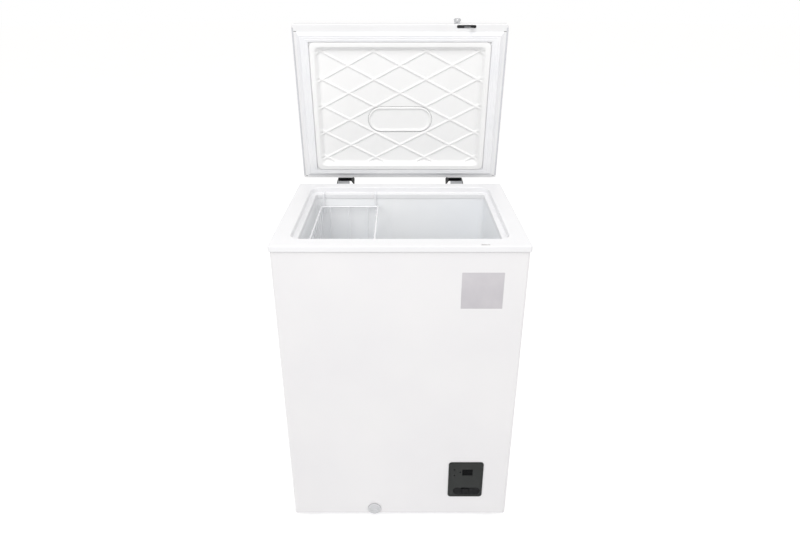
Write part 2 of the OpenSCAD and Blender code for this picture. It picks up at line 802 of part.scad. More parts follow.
bezel_out = 2.6;
display_x = ctrl_x + 4.2;
display_z = ctrl_zc + 25.4;
display_w = 27;
display_h = 20.5;
lamp_r = 2.3;
lamp_at = [[-29.8, 34.6], [-29.6, 15.2], [-14.6, 26.2]];
well_x = ctrl_x + 4;
well_z = ctrl_zc - 39.3;
well_w = 71;
well_h = 24;
button_travel = 1.2;
contact_y = 9 + button_travel + 0.7;

module control_bezel() color(dark) cabinet_place() {
  x0 = ctrl_x0;
  x1 = ctrl_x1;
  z0 = ctrl_z0;
  z1 = ctrl_z1;
  i = ctrl_inset;
  difference() {
    union() {
      slab_y(x0, z0, x1, z1, 8, -bezel_out + 1, 0);
      slab_y(x0 + 1.2, z0 + 1.2, x1 - 1.2, z1 - 1.2, 7, -bezel_out, -1);
      slab_y(x0 + i, z0 + i, x1 - i, z1 - i, 3, -eps, 9);
    }
    slab_y(x0 + 4, z0 + 4, x1 - 4, z1 - 4, 5, -bezel_out - 1, -bezel_out + 0.8);
    slab_y(x0 + i + 2, z0 + 34, x1 - i - 2, z1 - i - 2, 2, 1.2, 10);
    slab_y(display_x - display_w / 2, display_z - display_h / 2, display_x + display_w / 2,
           display_z + display_h / 2, 0.6, -5, 5);
    for (p = lamp_at)
      bar_y(ctrl_x + p[0], ctrl_zc + p[1], -5, 5, lamp_r);
    slab_y(well_x - well_w / 2, well_z - well_h / 2, well_x + well_w / 2, well_z + well_h / 2,
           well_h / 2 - eps, -5, 10);
  }
  // floor of the button well
  difference() {
    slab_y(well_x - well_w / 2 - 1, well_z - well_h / 2 - 1, well_x + well_w / 2 + 1,
           well_z + well_h / 2 + 1, well_h / 2, 6, 9);
    for (x = button_xs)
      bar_y(x, well_z, 5, 10, 2 + run);
  }
}

set_w = 18;
button_gap = 0.8;
button_xs = [well_x - well_w / 4 - 3, well_x - 4, well_x + well_w / 4 + 1];

module button_stem(x) {
  bar_y(x, well_z, 1.5, contact_y - button_travel - fit, 2);
}

module side_button(x, lo, hi) {
  intersection() {
    slab_y(well_x - well_w / 2 + 0.6, well_z - well_h / 2 + 0.6, well_x + well_w / 2 - 0.6,
           well_z + well_h / 2 - 0.6, well_h / 2 - 0.7, -bezel_out + 1, 2.5);
    box(lo, -9, 0, hi, 9, 2 * well_z);
  }
  button_stem(x);
}

module minus_button() color(black) cabinet_place()
  side_button(button_xs[0], 0, button_xs[1] - set_w / 2 - button_gap);

module plus_button() color(black) cabinet_place()
  side_button(button_xs[2], button_xs[1] + set_w / 2 + button_gap, body_w);

module set_button() color(black) cabinet_place() {
  slab_y(button_xs[1] - set_w / 2, well_z - well_h / 2 + 3, button_xs[1] + set_w / 2,
         well_z + well_h / 2 - 3, 1.5, -bezel_out + 0.2, 2.5);
  button_stem(button_xs[1]);
}

module display_window() color(black) cabinet_place()
  slab_y(display_x - display_w / 2 + snug, display_z - display_h / 2 + snug,
         display_x + display_w / 2 - snug, display_z + display_h / 2 - snug, 0.5,
         -bezel_out + 1.0, 1.2);

module indicator_lamps() color(black) cabinet_place()
  for (p = lamp_at)
    bar_y(ctrl_x + p[0], ctrl_zc + p[1], -bezel_out + 0.6, 1.2, lamp_r - snug);

module control_board() color("#2f6b3c") cabinet_place() {
  i = ctrl_inset + 2 + fit;
  slab_y(ctrl_x0 + i, ctrl_z0 + i, ctrl_x1 - i, ctrl_z1 - i, 2, 9 + button_travel + 1,
         9 + button_travel + 2.6);
  for (x = button_xs)
    box(x - 3, contact_y, well_z - 3, x + 3, contact_y + 0.3 + eps, well_z + 3);
  box(display_x - 12, 1.2 + snug, display_z - 9, display_x + 12, 9 + button_travel + 1 + eps,
      display_z + 9);
}

module control_housing() color(dark) cabinet_place() {
  i = ctrl_inset;
  difference() {
    slab_y(ctrl_x0 + i, ctrl_z0 + i, ctrl_x1 - i, ctrl_z1 - i, 3, 9, 34);
    slab_y(ctrl_x0 + i + 2, ctrl_z0 + i + 2, ctrl_x1 - i - 2, ctrl_z1 - i - 2, 2, 8, 32);
    bar_y(ctrl_x, ctrl_z1 - 20, 30, 36, 5);
  }
}

// ---- drain ----

module drain_tube() color(white) cabinet_place() {
  difference() {
    drain_form(tube_r);
    translate([-drain_x, drain_y, drain_z])
      cylinder(h = floor_z, r = bore_r);
    translate([-drain_x, drain_y, drain_z])
      sphere(bore_r);
    bar_y(-drain_x, drain_z, -1, drain_y, bore_r);
  }
}

module drain_plug() color(cap_grey) cabinet_place()
  translate([-drain_x, drain_y, floor_z]) {
    rotate_extrude()
      polygon([[0, -12], [bore_r - 0.8, -12], [bore_r - snug, -9], [bore_r - snug, fit],
               [12, fit], [12.5, 1.2], [11, 3], [0, 3]]);
    difference() {
      translate([-1.5, -6, 2.5])
        cube([3, 12, 9]);
      translate([-2, 0, 6.5])
        rotate([0, 90, 0])
          cylinder(h = 4, r = 2.6);
    }
  }

module drain_cap() color(cap_grey) cabinet_place()
  translate([-drain_x, -fit, drain_z])
    rotate([90, 0, 0]) {
      rotate_extrude()
        polygon([[0, -14], [bore_r - 0.8, -14], [bore_r - snug, -11], [bore_r - snug, 0],
                 [cap_r, 0], [cap_r, 3], [cap_r - 1.5, 4.2], [cap_r - 4, 4.2], [cap_r - 5, 3.2],
                 [0, 3.2]]);
      translate([-10, -2, 2.5])
        cube([20, 4, cap_out - fit - 2.5]);
    }

// ---- hinges ----

cheek_r = 10.5;

// side outline of the cabinet bracket, in y and z
module bracket_side() {
  polygon([[body_d, bracket_z0], [body_d + 12, bracket_z0], [hinge_y - 8, hinge_z - 45],
           [hinge_y + cheek_r, hinge_z - 6], [hinge_y + cheek_r, hinge_z + 6],
           [hinge_y + 4, rim_top - 4], [rim_y1 + 2, rim_top - 4], [rim_y1 + 2, bracket_z1],
           [body_d, bracket_z1]]);
}

module yz_extrude(x0, x1) {
  translate([x0, 0, 0])
    rotate([90, 0, 90])
      linear_extrude(x1 - x0)
        children();
}

module hinge_bracket(x) {
  w = bracket_w / 2;
  difference() {
    union() {
      for (s = [-1, 1])
        yz_extrude(s < 0 ? x - w : x + w - plate_t, s < 0 ? x - w + plate_t : x + w)
          bracket_side();
      box(x - w, rim_y1 + 2, rim_top - 4 - plate_t, x + w, hinge_y + 4, rim_top - 4);
      box(x - w - 14, body_d + eps, bracket_z0, x + w + 14, body_d + plate_t, hinge_z - 20);
      box(x - w, body_d + eps, bracket_z0, x + w, body_d + plate_t, bracket_z1);
    }
    bar_x(hinge_y, hinge_z, x - w - 1, x + w + 1, pin_r + run);
    bracket_holes(shank + snug);
  }
}

module hinge_bracket_left() color(zinc) cabinet_place() hinge_bracket(-hinge_x);
module hinge_bracket_right() color(zinc) cabinet_place() hinge_bracket(hinge_x);

module hinge_backing_plates() color(zinc) cabinet_place()
  difference() {
    for (s = [-1, 1])
      box(s * hinge_x - plate_half, in_y1 - 3, plate_zs[0], s * hinge_x + plate_half,
          in_y1 - eps, plate_zs[1]);
    bracket_holes(shank + run);
  }

module bracket_screws() color(zinc) cabinet_place()
  for (s = [-1, 1], d = [-1, 1], z = screw_zs)
    screw_back(s * hinge_x + d * screw_dx, body_d + plate_t + eps, z, shank, plate_t + 5);

module hinge_pins() color(zinc) cabinet_place()
  for (s = [-1, 1]) {
    half = arm_w / 2 + arm_flare + 1;
    bar_x(hinge_y, hinge_z, s * hinge_x - half - 1.5, s * hinge_x + half, pin_r);
    bar_x(hinge_y, hinge_z, s * hinge_x - half - 1.5, s * hinge_x - half + 0.5, pin_r + 2.5);
    bar_x(hinge_y, hinge_z, s * hinge_x + half - 0.5, s * hinge_x + half + 1.5, pin_r + 2.5);
  }

module hinge_bushings() color(white) cabinet_place()
  for (s = [-1, 1], d = [-1, 1])
    difference() {
      a = bracket_w / 2 + snug;
      b = arm_w / 2 + arm_flare - plate_t - snug;
      bar_x(hinge_y, hinge_z, s * hinge_x + (d < 0 ? -b : a), s * hinge_x + (d < 0 ? -a : b), 8);
      bar_x(hinge_y, hinge_z, s * hinge_x - 2 * b, s * hinge_x + 2 * b, pin_r + run);
    }

spring_r = 1.4;
spring_n = 8;
spring_in = pin_r + 0.8;

module hinge_springs() color(zinc) cabinet_place()
  for (s = [-1, 1])
    translate([s * hinge_x, hinge_y, hinge_z]) {
      coil_r = spring_in + spring_r;
      pitch = 1.94 * spring_r;
      end = pitch * (spring_n - 1) / 2;
      for (i = [0 : spring_n - 1])
        translate([-end + i * pitch, 0, 0])
          rotate([0, 90, 0])
            rotate([0, 0, i == 0 ? 270 : 0])
              rotate_extrude(angle = (i == 0 || i == spring_n - 1) ? 270 : 360)
                translate([coil_r, 0])
                  circle(spring_r, $fn = 20);
      rod([-end, -coil_r, 0], [-end, -coil_r, 34], spring_r);
      pipe([[end, 0, -coil_r], [end, -8, -coil_r],
            [end, -hinge_back + plate_t + spring_r + 0.4, -coil_r - 14]], spring_r, 4);
    }

// lid arm, drawn with the lid shut
arm_z = lid_z - 5.5;
arm_leaf_top = lid_top - 6;
bar_len = 9;

module arm_plan(x) {
  a = arm_w / 2;
  for (s = [-1, 1])
    polygon([for (p = [[a - plate_t, rim_y1 + eps], [a, rim_y1 + eps], [a, rim_y1 + bar_len - 2],
                       [a + arm_flare, rim_y1 + bar_len + 5],
                       [a + arm_flare, hinge_y + 40], [a + arm_flare - plate_t, hinge_y + 40],
                       [a + arm_flare - plate_t, rim_y1 + bar_len + 5 + 0.4 * plate_t],
                       [a - plate_t, rim_y1 + bar_len - 2 + 0.4 * plate_t]])
             [x + s * p[0], p[1]]]);
}

module arm_side() {
  polygon([[rim_y1 + eps, arm_leaf_top], [rim_y1 + 8, arm_leaf_top],
           [hinge_y + 16, hinge_z + 42], [hinge_y + 16, hinge_z - 6], [hinge_y + 8, hinge_z - 14],
           [hinge_y - 8, hinge_z - 14], [hinge_y - 16, hinge_z - 6], [hinge_y - 16, arm_z - 10],
           [rim_y1 + bar_len, arm_z], [rim_y1 + eps, arm_z]]);
}

arm_screw_at = [[-11, 0.30], [11, 0.30], [0, 0.75]];

module arm_holes(x, r) {
  for (p = arm_screw_at)
    bar_y(x + p[0], lid_z + p[1] * (arm_leaf_top - lid_z), rim_y1 - 10, rim_y1 + 6, r);
}

module hinge_arm(x) {
  a = arm_w / 2;
  difference() {
    union() {
      intersection() {
        translate([0, 0, hinge_z - 30])
          linear_extrude(lid_top - hinge_z + 30)
            arm_plan(x);
        yz_extrude(x - 2 * a, x + 2 * a)
          arm_side();
      }
      box(x - a, rim_y1 + eps, arm_z, x + a, rim_y1 + plate_t, arm_leaf_top);
      box(x - a, rim_y1 + eps, arm_z, x + a, rim_y1 + bar_len, arm_z + plate_t);
      box(x - a - arm_flare + eps, hinge_y + 16 - plate_t, hinge_z + 8,
          x + a + arm_flare - eps, hinge_y + 16, hinge_z + 40);
    }
    bar_x(hinge_y, hinge_z, x - 2 * a, x + 2 * a, pin_r + run);
    arm_holes(x, shank + snug);
  }
}

module hinge_arm_left() color(black) lid_place() hinge_arm(-hinge_x);
module hinge_arm_right() color(black) lid_place() hinge_arm(hinge_x);

module arm_backing_plates() color(zinc) lid_place()
  for (s = [-1, 1])
    difference() {
      box(s * hinge_x - 24, rim_y1 - sheet_t - 3, lid_z + 3, s * hinge_x + 24,
          rim_y1 - sheet_t - eps, lid_top - 8);
      arm_holes(s * hinge_x, shank + run);
    }

module arm_screws() color(zinc) lid_place()
  for (s = [-1, 1], p = arm_screw_at)
    screw_back(s * hinge_x + p[0], rim_y1 + plate_t + eps, lid_z + p[1] * (arm_leaf_top - lid_z),
               shank, plate_t + 5);

// ---- lid, drawn shut ----

seal_x = rim_x - flange_side;
seal_y0 = rim_y0 + flange_front;
seal_y1 = rim_y1 - flange_back;
bead_x = seal_x - seal_side;
bead_y0 = seal_y0 + seal_front;
bead_y1 = seal_y1 - seal_back;
bead_z = rim_top + 1.2;
bead_r = 12;
recess_x = bead_x - bead_w;
recess_y0 = bead_y0 + bead_w;
recess_y1 = bead_y1 - bead_w;
recess_z = bead_z + recess_depth;
field_x = recess_x - recess_slope;
field_y0 = recess_y0 + recess_slope;
field_y1 = recess_y1 - recess_slope;
pitch_x = (recess_x - rib_margin) / diamonds_x;
pitch_y = (recess_y1 - recess_y0 - 2 * rib_margin) / (2 * diamonds_y);
field_y = (field_y0 + field_y1) / 2;
oval_y = field_y + oval_back;

// a box with its upright and top edges rounded
module lid_body(g) {
  r = lid_r - g;
  x = rim_x - g;
  y0 = rim_y0 + g;
  y1 = rim_y1 - g;
  top = lid_top - g;
  slab(-x, y0, x, y1, r, lid_z, top - r);
  box(-x + r, y0 + r, lid_z, x - r, y1 - r, top);
  for (y = [y0 + r, y1 - r])
    bar_x(y, top - r, -x + r, x - r, r);
  for (s = [-1, 1]) {
    bar_y(s * (x - r), top - r, y0 + r, y1 - r, r);
    for (y = [y0 + r, y1 - r])
      translate([s * (x - r), y, top - r])
        sphere(r);
  }
}

module lid_skin() color(panel_white) lid_place() {
  difference() {
    lid_body(0);
    difference() {
      lid_body(sheet_t);
      box(-body_w, -body_d, 0, body_w, 2 * body_d, lid_z + sheet_t);
    }
    slab(-seal_x, seal_y0, seal_x, seal_y1, 3, lid_z - 1, lid_z + 2 * sheet_t);
    slab(lock_x - lock_len / 2 - snug, hook_y - 6, lock_x + lock_len / 2 + snug, hook_y + 1.9,
         3.9, lid_z - 1, lid_z + 2 * sheet_t);
    bar_y(barrel_x, barrel_z, rim_y0 - 2, rim_y0 + 3, barrel_r + fit);
    for (s = [-1, 1])
      arm_holes(s * hinge_x, shank + snug);
  }
}

module recess_form(g) {
  hull() {
    slab(-recess_x - g, recess_y0 - g, recess_x + g, recess_y1 + g, bead_r, bead_z - 1, bead_z);
    slab(-field_x - g, field_y0 - g, field_x + g, field_y1 + g, bead_r - 4, recess_z - 1,
         recess_z + g);
  }
}

// the diamond lattice, clipped to the flat of the recess and kept clear of the oval
module lattice(w) {
  a = atan2(pitch_y, pitch_x);
  run_len = 4 * recess_x;
  intersection() {
    translate([-field_x - 2, field_y0 - 2])
      square([2 * field_x + 4, field_y1 - field_y0 + 4]);
    difference() {
      for (s = [-1, 1], k = [-diamonds_x - diamonds_y : diamonds_x + diamonds_y])
        translate([0, oval_y + k * 2 * pitch_y])
          rotate([0, 0, s * a])
            square([run_len, w], center = true);
      oval(1);
    }
  }
}

module oval(inset) {
  h = oval_h / 2 - inset;
  translate([0, oval_y])
    round_rect(-oval_w / 2 + inset, -h, oval_w / 2 - inset, h, h - eps);
}

module lid_liner() color(white) lid_place() {
  difference() {
    union() {
      slab(-rim_x + 2, rim_y0 + 2, rim_x - 2, rim_y1 - 2, 4, lid_z + sheet_t,
           lid_z + sheet_t + panel_t);
      slab(-bead_x, bead_y0, bead_x, bead_y1, bead_r + 4, bead_z, lid_z + 2 * sheet_t);
    }
    slab(-bead_x + panel_t, bead_y0 + panel_t, bead_x - panel_t, bead_y1 - panel_t,
         bead_r + 4 - panel_t, bead_z + panel_t, lid_top);
    recess_form(panel_t / 2);
    lock_cut();
  }
  difference() {
    recess_form(panel_t);
    recess_form(0);
    box(-body_w, -body_d, bead_z - 5, body_w, 2 * body_d, bead_z);
  }
  translate([0, 0, recess_z - rib_h])
    linear_extrude(rib_h + eps)
      lattice(rib_w - 2);
  translate([0, 0, recess_z - rib_h / 2])
    linear_extrude(rib_h / 2 + eps)
      lattice(rib_w);
  translate([0, 0, recess_z - rib_h])
    linear_extrude(rib_h + eps)
      difference() {
        oval(0);
        oval(5);
      }
}

module lid_foam() color(foam_tan) lid_place() {
  difference() {
    union() {
      difference() {
        lid_body(sheet_t);
        box(-body_w, -body_d, 0, body_w, 2 * body_d, lid_z + sheet_t + panel_t);
      }
      slab(-bead_x + panel_t, bead_y0 + panel_t, bead_x - panel_t, bead_y1 - panel_t,
           bead_r + 4 - panel_t, bead_z + panel_t, lid_z + sheet_t + 2 * panel_t);
    }
    recess_form(panel_t);
    lock_pocket(0);
    for (s = [-1, 1])
      box(s * hinge_x - 24 - snug, rim_y1 - sheet_t - 8, lid_z, s * hinge_x + 24 + snug, rim_y1,
          lid_top - 8 + snug);
  }
}

module seal_ring(d0, d1, z0, z1) {
  difference() {
    slab(-seal_x + d0, seal_y0 + d0, seal_x - d0, seal_y1 - d0, 3, z0, z1);
    slab(-seal_x + d1, seal_y0 + d1, seal_x - d1, seal_y1 - d1, 3, z0 - 1, z1 + 1);
  }
}

module lid_seal() color(white) lid_place() {
  z = rim_top + fit;
  difference() {
    slab(-seal_x + snug, seal_y0 + snug, seal_x - snug, seal_y1 - snug, 3,
         lid_z - 3, lid_z + sheet_t);
    slab(-bead_x - snug, bead_y0 - snug, bead_x + snug, bead_y1 + snug, bead_r + 4,
         lid_z - 4, lid_z + 2);
  }
  seal_ring(1.5, 3, z + 3, lid_z - 3 + eps);
  seal_ring(5, 16, z, lid_z - 3 + eps);
}

// ---- lid lock ----

barrel_x = lock_x - lock_len / 2 + 1.5;
barrel_z = lid_z + 13;
barrel_r = 6.5;
crank = 3.5;
crank_pin = 1.5;
hook_travel = 2 * crank;
hook_t = 2.2;
hook_tip = foam_top - 4.2;
house_x0 = lock_x - lock_len / 2 - 17;
house_x1 = lock_x + lock_len / 2 + 2;
house_z1 = lid_z + 23;

module lock_pocket(g) {
  box(house_x0 - g, rim_y0 + sheet_t, lid_z - 1, house_x1 + g, hook_y + 4 + g, house_z1 + g);
}

module lock_cut() {
  lock_pocket(snug);
}

module lock_housing() color(black) lid_place() {
  difference() {
    union() {
      box(house_x0 + snug, rim_y0 + sheet_t + snug, lid_z + sheet_t + snug, house_x1 - snug,
          hook_y + 4 - snug, house_z1 - snug);
      slab(lock_x - lock_len / 2, hook_y - 5.9, lock_x + lock_len / 2, hook_y + 1.8, 3.8,
           lid_z - 0.8, lid_z + 2);
    }
    box(house_x0 + 1.5, hook_y - hook_t / 2 - 0.4, lid_z + 3, house_x1 - 1.5,
        hook_y + hook_t / 2 + 0.4, house_z1 - 1.5);
    box(keeper_x - 13 - hook_travel / 2, hook_y - hook_t / 2 - 0.4, lid_z - 2, house_x1 - 3.5,
        hook_y + hook_t / 2 + 0.4, lid_z + 4);
    bar_y(barrel_x, barrel_z, rim_y0, hook_y - hook_t / 2, barrel_r + run);
  }
}

module lock_hook() color(zinc) lid_place() {
  x1 = keeper_x + 7;
  difference() {
    slab_y(barrel_x - 7, barrel_z - 8, x1, barrel_z + 8, 1, hook_y - hook_t / 2,
           hook_y + hook_t / 2);
    slab_y(barrel_x + crank - crank_pin - 0.4, barrel_z + 1, barrel_x + crank + crank_pin + 0.4,
           barrel_z + 9, 0.5, hook_y - hook_t, hook_y + hook_t);
  }
  slab_y(x1 - 6, hook_tip, x1, barrel_z, 1, hook_y - hook_t / 2, hook_y + hook_t / 2);
  slab_y(x1 - 13, hook_tip, x1, hook_tip + 3, 1, hook_y - hook_t / 2, hook_y + hook_t / 2);
}

module lock_barrel() color(zinc) lid_place() {
  difference() {
    union() {
      bar_y(barrel_x, barrel_z, rim_y0 - 2.2, rim_y0 - snug, barrel_r + 2);
      bar_y(barrel_x, barrel_z, rim_y0 - 1, hook_y - hook_t / 2 - 0.5, barrel_r);
      bar_y(barrel_x + crank, barrel_z + crank, hook_y - hook_t / 2 - 1,
            hook_y + hook_t / 2 + 0.2, crank_pin);
    }
    box(barrel_x - 3.6, rim_y0 - 3, barrel_z - 1, barrel_x + 3.6, rim_y0 + 4, barrel_z + 1);
  }
}

module key() color(zinc) lid_place() {
  box(barrel_x - 3.5, rim_y0 - 5, barrel_z - 0.9, barrel_x + 3.5, rim_y0 + 3.9, barrel_z + 0.9);
  difference() {
    slab(barrel_x - 9.5, rim_y0 - 13, barrel_x + 9.5, rim_y0 - 3, 4.6, barrel_z - 0.9,
         barrel_z + 0.9);
    translate([barrel_x, rim_y0 - 9, barrel_z - 3])
      cylinder(h = 6, r = 2);
  }
}

// ---- basket ----

basket_x0 = -open_x + basket_side;
basket_x1 = basket_x0 + basket_w;
basket_y0 = open_y0 + ledge_w + rail_r + 7;
basket_y1 = open_y1 - ledge_w - rail_r - 7;
basket_z = rim_top - basket_drop;
basket_in = 7;
cross_n = 8;
long_n = 3;

function level_in(z) = basket_in * (basket_z - z) / basket_h;

module basket_ring(z, r, inset) {
  i = level_in(z) + inset;
  x0 = basket_x0 + i;
  x1 = basket_x1 - i;
  y0 = basket_y0 + i;
  y1 = basket_y1 - i;
  c = 4.5;
  for (x = [x0, x1])
    bar_y(x, z, y0 + c, y1 - c, r);
  for (y = [y0, y1])
    bar_x(y, z, x0 + c, x1 - c, r);
  for (k = [[x0 + c, y0 + c, 180], [x1 - c, y0 + c, 270], [x1 - c, y1 - c, 0], [x0 + c, y1 - c, 90]])
    translate([k[0], k[1], z])
      rotate([0, 0, k[2]])
        rotate_extrude(angle = 90)
          translate([c, 0])
            circle(r, $fn = 20);
}

module basket_hanger(x, s) {
  y = (s < 0 ? basket_y0 : basket_y1) + s * (2 * rail_r - 0.5);
  lip = s < 0 ? open_y0 + 2.5 : open_y1 - 2.5;
  top = ledge_z + rail_r + 0.2;
  pipe([[x, y, basket_z - 22], [x, y, top], [x, lip, top]], rail_r, rail_r + 0.6);
}

module basket() color(white) cabinet_place() {
  weld = 0.5;
  low = basket_z - basket_h;
  mid = basket_z - 0.6 * basket_h;
  o = rail_r + wire_r - weld;
  basket_ring(basket_z, rail_r, 0);
  basket_ring(mid, wire_r, o - 2 * wire_r + weld);
  basket_ring(low + 7, wire_r, o - 2 * wire_r + weld);
  for (k = [1 : cross_n]) {
    y = basket_y0 + k * (basket_y1 - basket_y0) / (cross_n + 1);
    pipe([[basket_x0 + o, y, basket_z + 1], [basket_x0 + basket_in + o, y, low],
          [basket_x1 - basket_in - o, y, low], [basket_x1 - o, y, basket_z + 1]], wire_r, 9);
  }
  for (k = [1 : long_n]) {
    x = basket_x0 + (k - 0.5) * basket_w / long_n - 2;
    under = low - 2 * wire_r + weld;
    pipe([[x, basket_y0 + o, basket_z + 1], [x, basket_y0 + basket_in + o, under],
          [x, basket_y1 - basket_in - o, under], [x, basket_y1 - o, basket_z + 1]], wire_r, 9);
  }
  for (x = [basket_x0 + 7, basket_x1 - 7], s = [-1, 1])
    basket_hanger(x, s);
}

outer_shell();
back_panel();
base_pan();
insulation_foam();
tub_liner();
rim_frame();
bay_partition();
compressor_tray();
feet();
foot_screws();
evaporator_coil();
condenser_coil();
compressor();
compressor_grommets();
compressor_bolts();
starter_box();
filter_drier();
suction_line();
discharge_line();
liquid_line();
probe_tube();
rear_cover();
rear_cover_screws();
cord_gland();
control_bezel();
display_window();
indicator_lamps();
minus_button();
set_button();
plus_button();
control_board();
control_housing();
drain_tube();
drain_plug();
drain_cap();
hinge_bracket_left();
hinge_bracket_right();
hinge_backing_plates();
bracket_screws();
hinge_pins();
hinge_bushings();
hinge_springs();
hinge_arm_left();
hinge_arm_right();
arm_backing_plates();
arm_screws();
lid_skin();
lid_foam();
lid_liner();
lid_seal();
lock_housing();
lock_hook();
lock_barrel();
key();
basket();
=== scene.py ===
# Small chest freezer standing open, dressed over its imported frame
import json
import math

import bmesh
import bpy
from mathutils import Matrix, Vector


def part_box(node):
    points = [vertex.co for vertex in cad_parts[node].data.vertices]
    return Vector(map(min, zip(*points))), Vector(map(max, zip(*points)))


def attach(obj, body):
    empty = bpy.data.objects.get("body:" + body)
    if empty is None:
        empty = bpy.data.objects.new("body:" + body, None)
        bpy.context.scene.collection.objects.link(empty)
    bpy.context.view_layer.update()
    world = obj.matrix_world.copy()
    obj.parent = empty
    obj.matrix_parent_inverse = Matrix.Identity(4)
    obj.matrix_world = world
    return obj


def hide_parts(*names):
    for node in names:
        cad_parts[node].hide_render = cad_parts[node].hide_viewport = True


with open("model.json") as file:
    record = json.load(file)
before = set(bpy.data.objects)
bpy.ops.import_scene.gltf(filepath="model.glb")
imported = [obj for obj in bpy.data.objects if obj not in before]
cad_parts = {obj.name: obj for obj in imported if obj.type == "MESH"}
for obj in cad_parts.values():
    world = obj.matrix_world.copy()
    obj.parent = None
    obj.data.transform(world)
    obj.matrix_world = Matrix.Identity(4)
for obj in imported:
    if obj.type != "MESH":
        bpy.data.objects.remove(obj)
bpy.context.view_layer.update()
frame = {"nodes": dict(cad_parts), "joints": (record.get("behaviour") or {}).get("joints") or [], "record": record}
cadNodes = frame["nodes"]
mm = 0.001
slotOf = {p["node"]: p["material_slot"] for p in frame["record"]["subparts"]}
bodyOf = {node: body for body, nodes in frame["record"]["behaviour"]["bodies"].items() for node in nodes}
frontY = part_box("outer_shell")[0].y / mm  # the cabinet's front face: y sizes below count back from it
hinge = next(j for j in frame["joints"] if j["name"] == "lid_hinge")
hingePoint = Vector(hinge["pos_m"])
swing = Matrix.Rotation(math.radians(hinge["range_deg"][0]), 4, "X")  # lid pieces are drawn shut, then turned
lidTurn = Matrix.Translation(hingePoint) @ swing @ Matrix.Translation(-hingePoint)
print("frame loaded:", len(cadNodes), "nodes")


def linearColour(code):  # "#rrggbb" as a screen shows it, to the linear values that shaders take
    parts = [int(code[i:i + 2], 16) / 255 for i in (1, 3, 5)]
    return tuple(c / 12.92 if c <= 0.04045 else ((c + 0.055) / 1.055) ** 2.4 for c in parts) + (1.0,)


def addNode(tree, kind, inputs=None, **settings):  # inputs by name or place: a socket links, a value fills
    node = tree.nodes.new(kind)
    for name, value in settings.items():
        setattr(node, name, value)
    for key, value in (inputs or {}).items():
        if isinstance(value, bpy.types.NodeSocket):
            tree.links.new(value, node.inputs[key])
        else:
            node.inputs[key].default_value = value
    return node


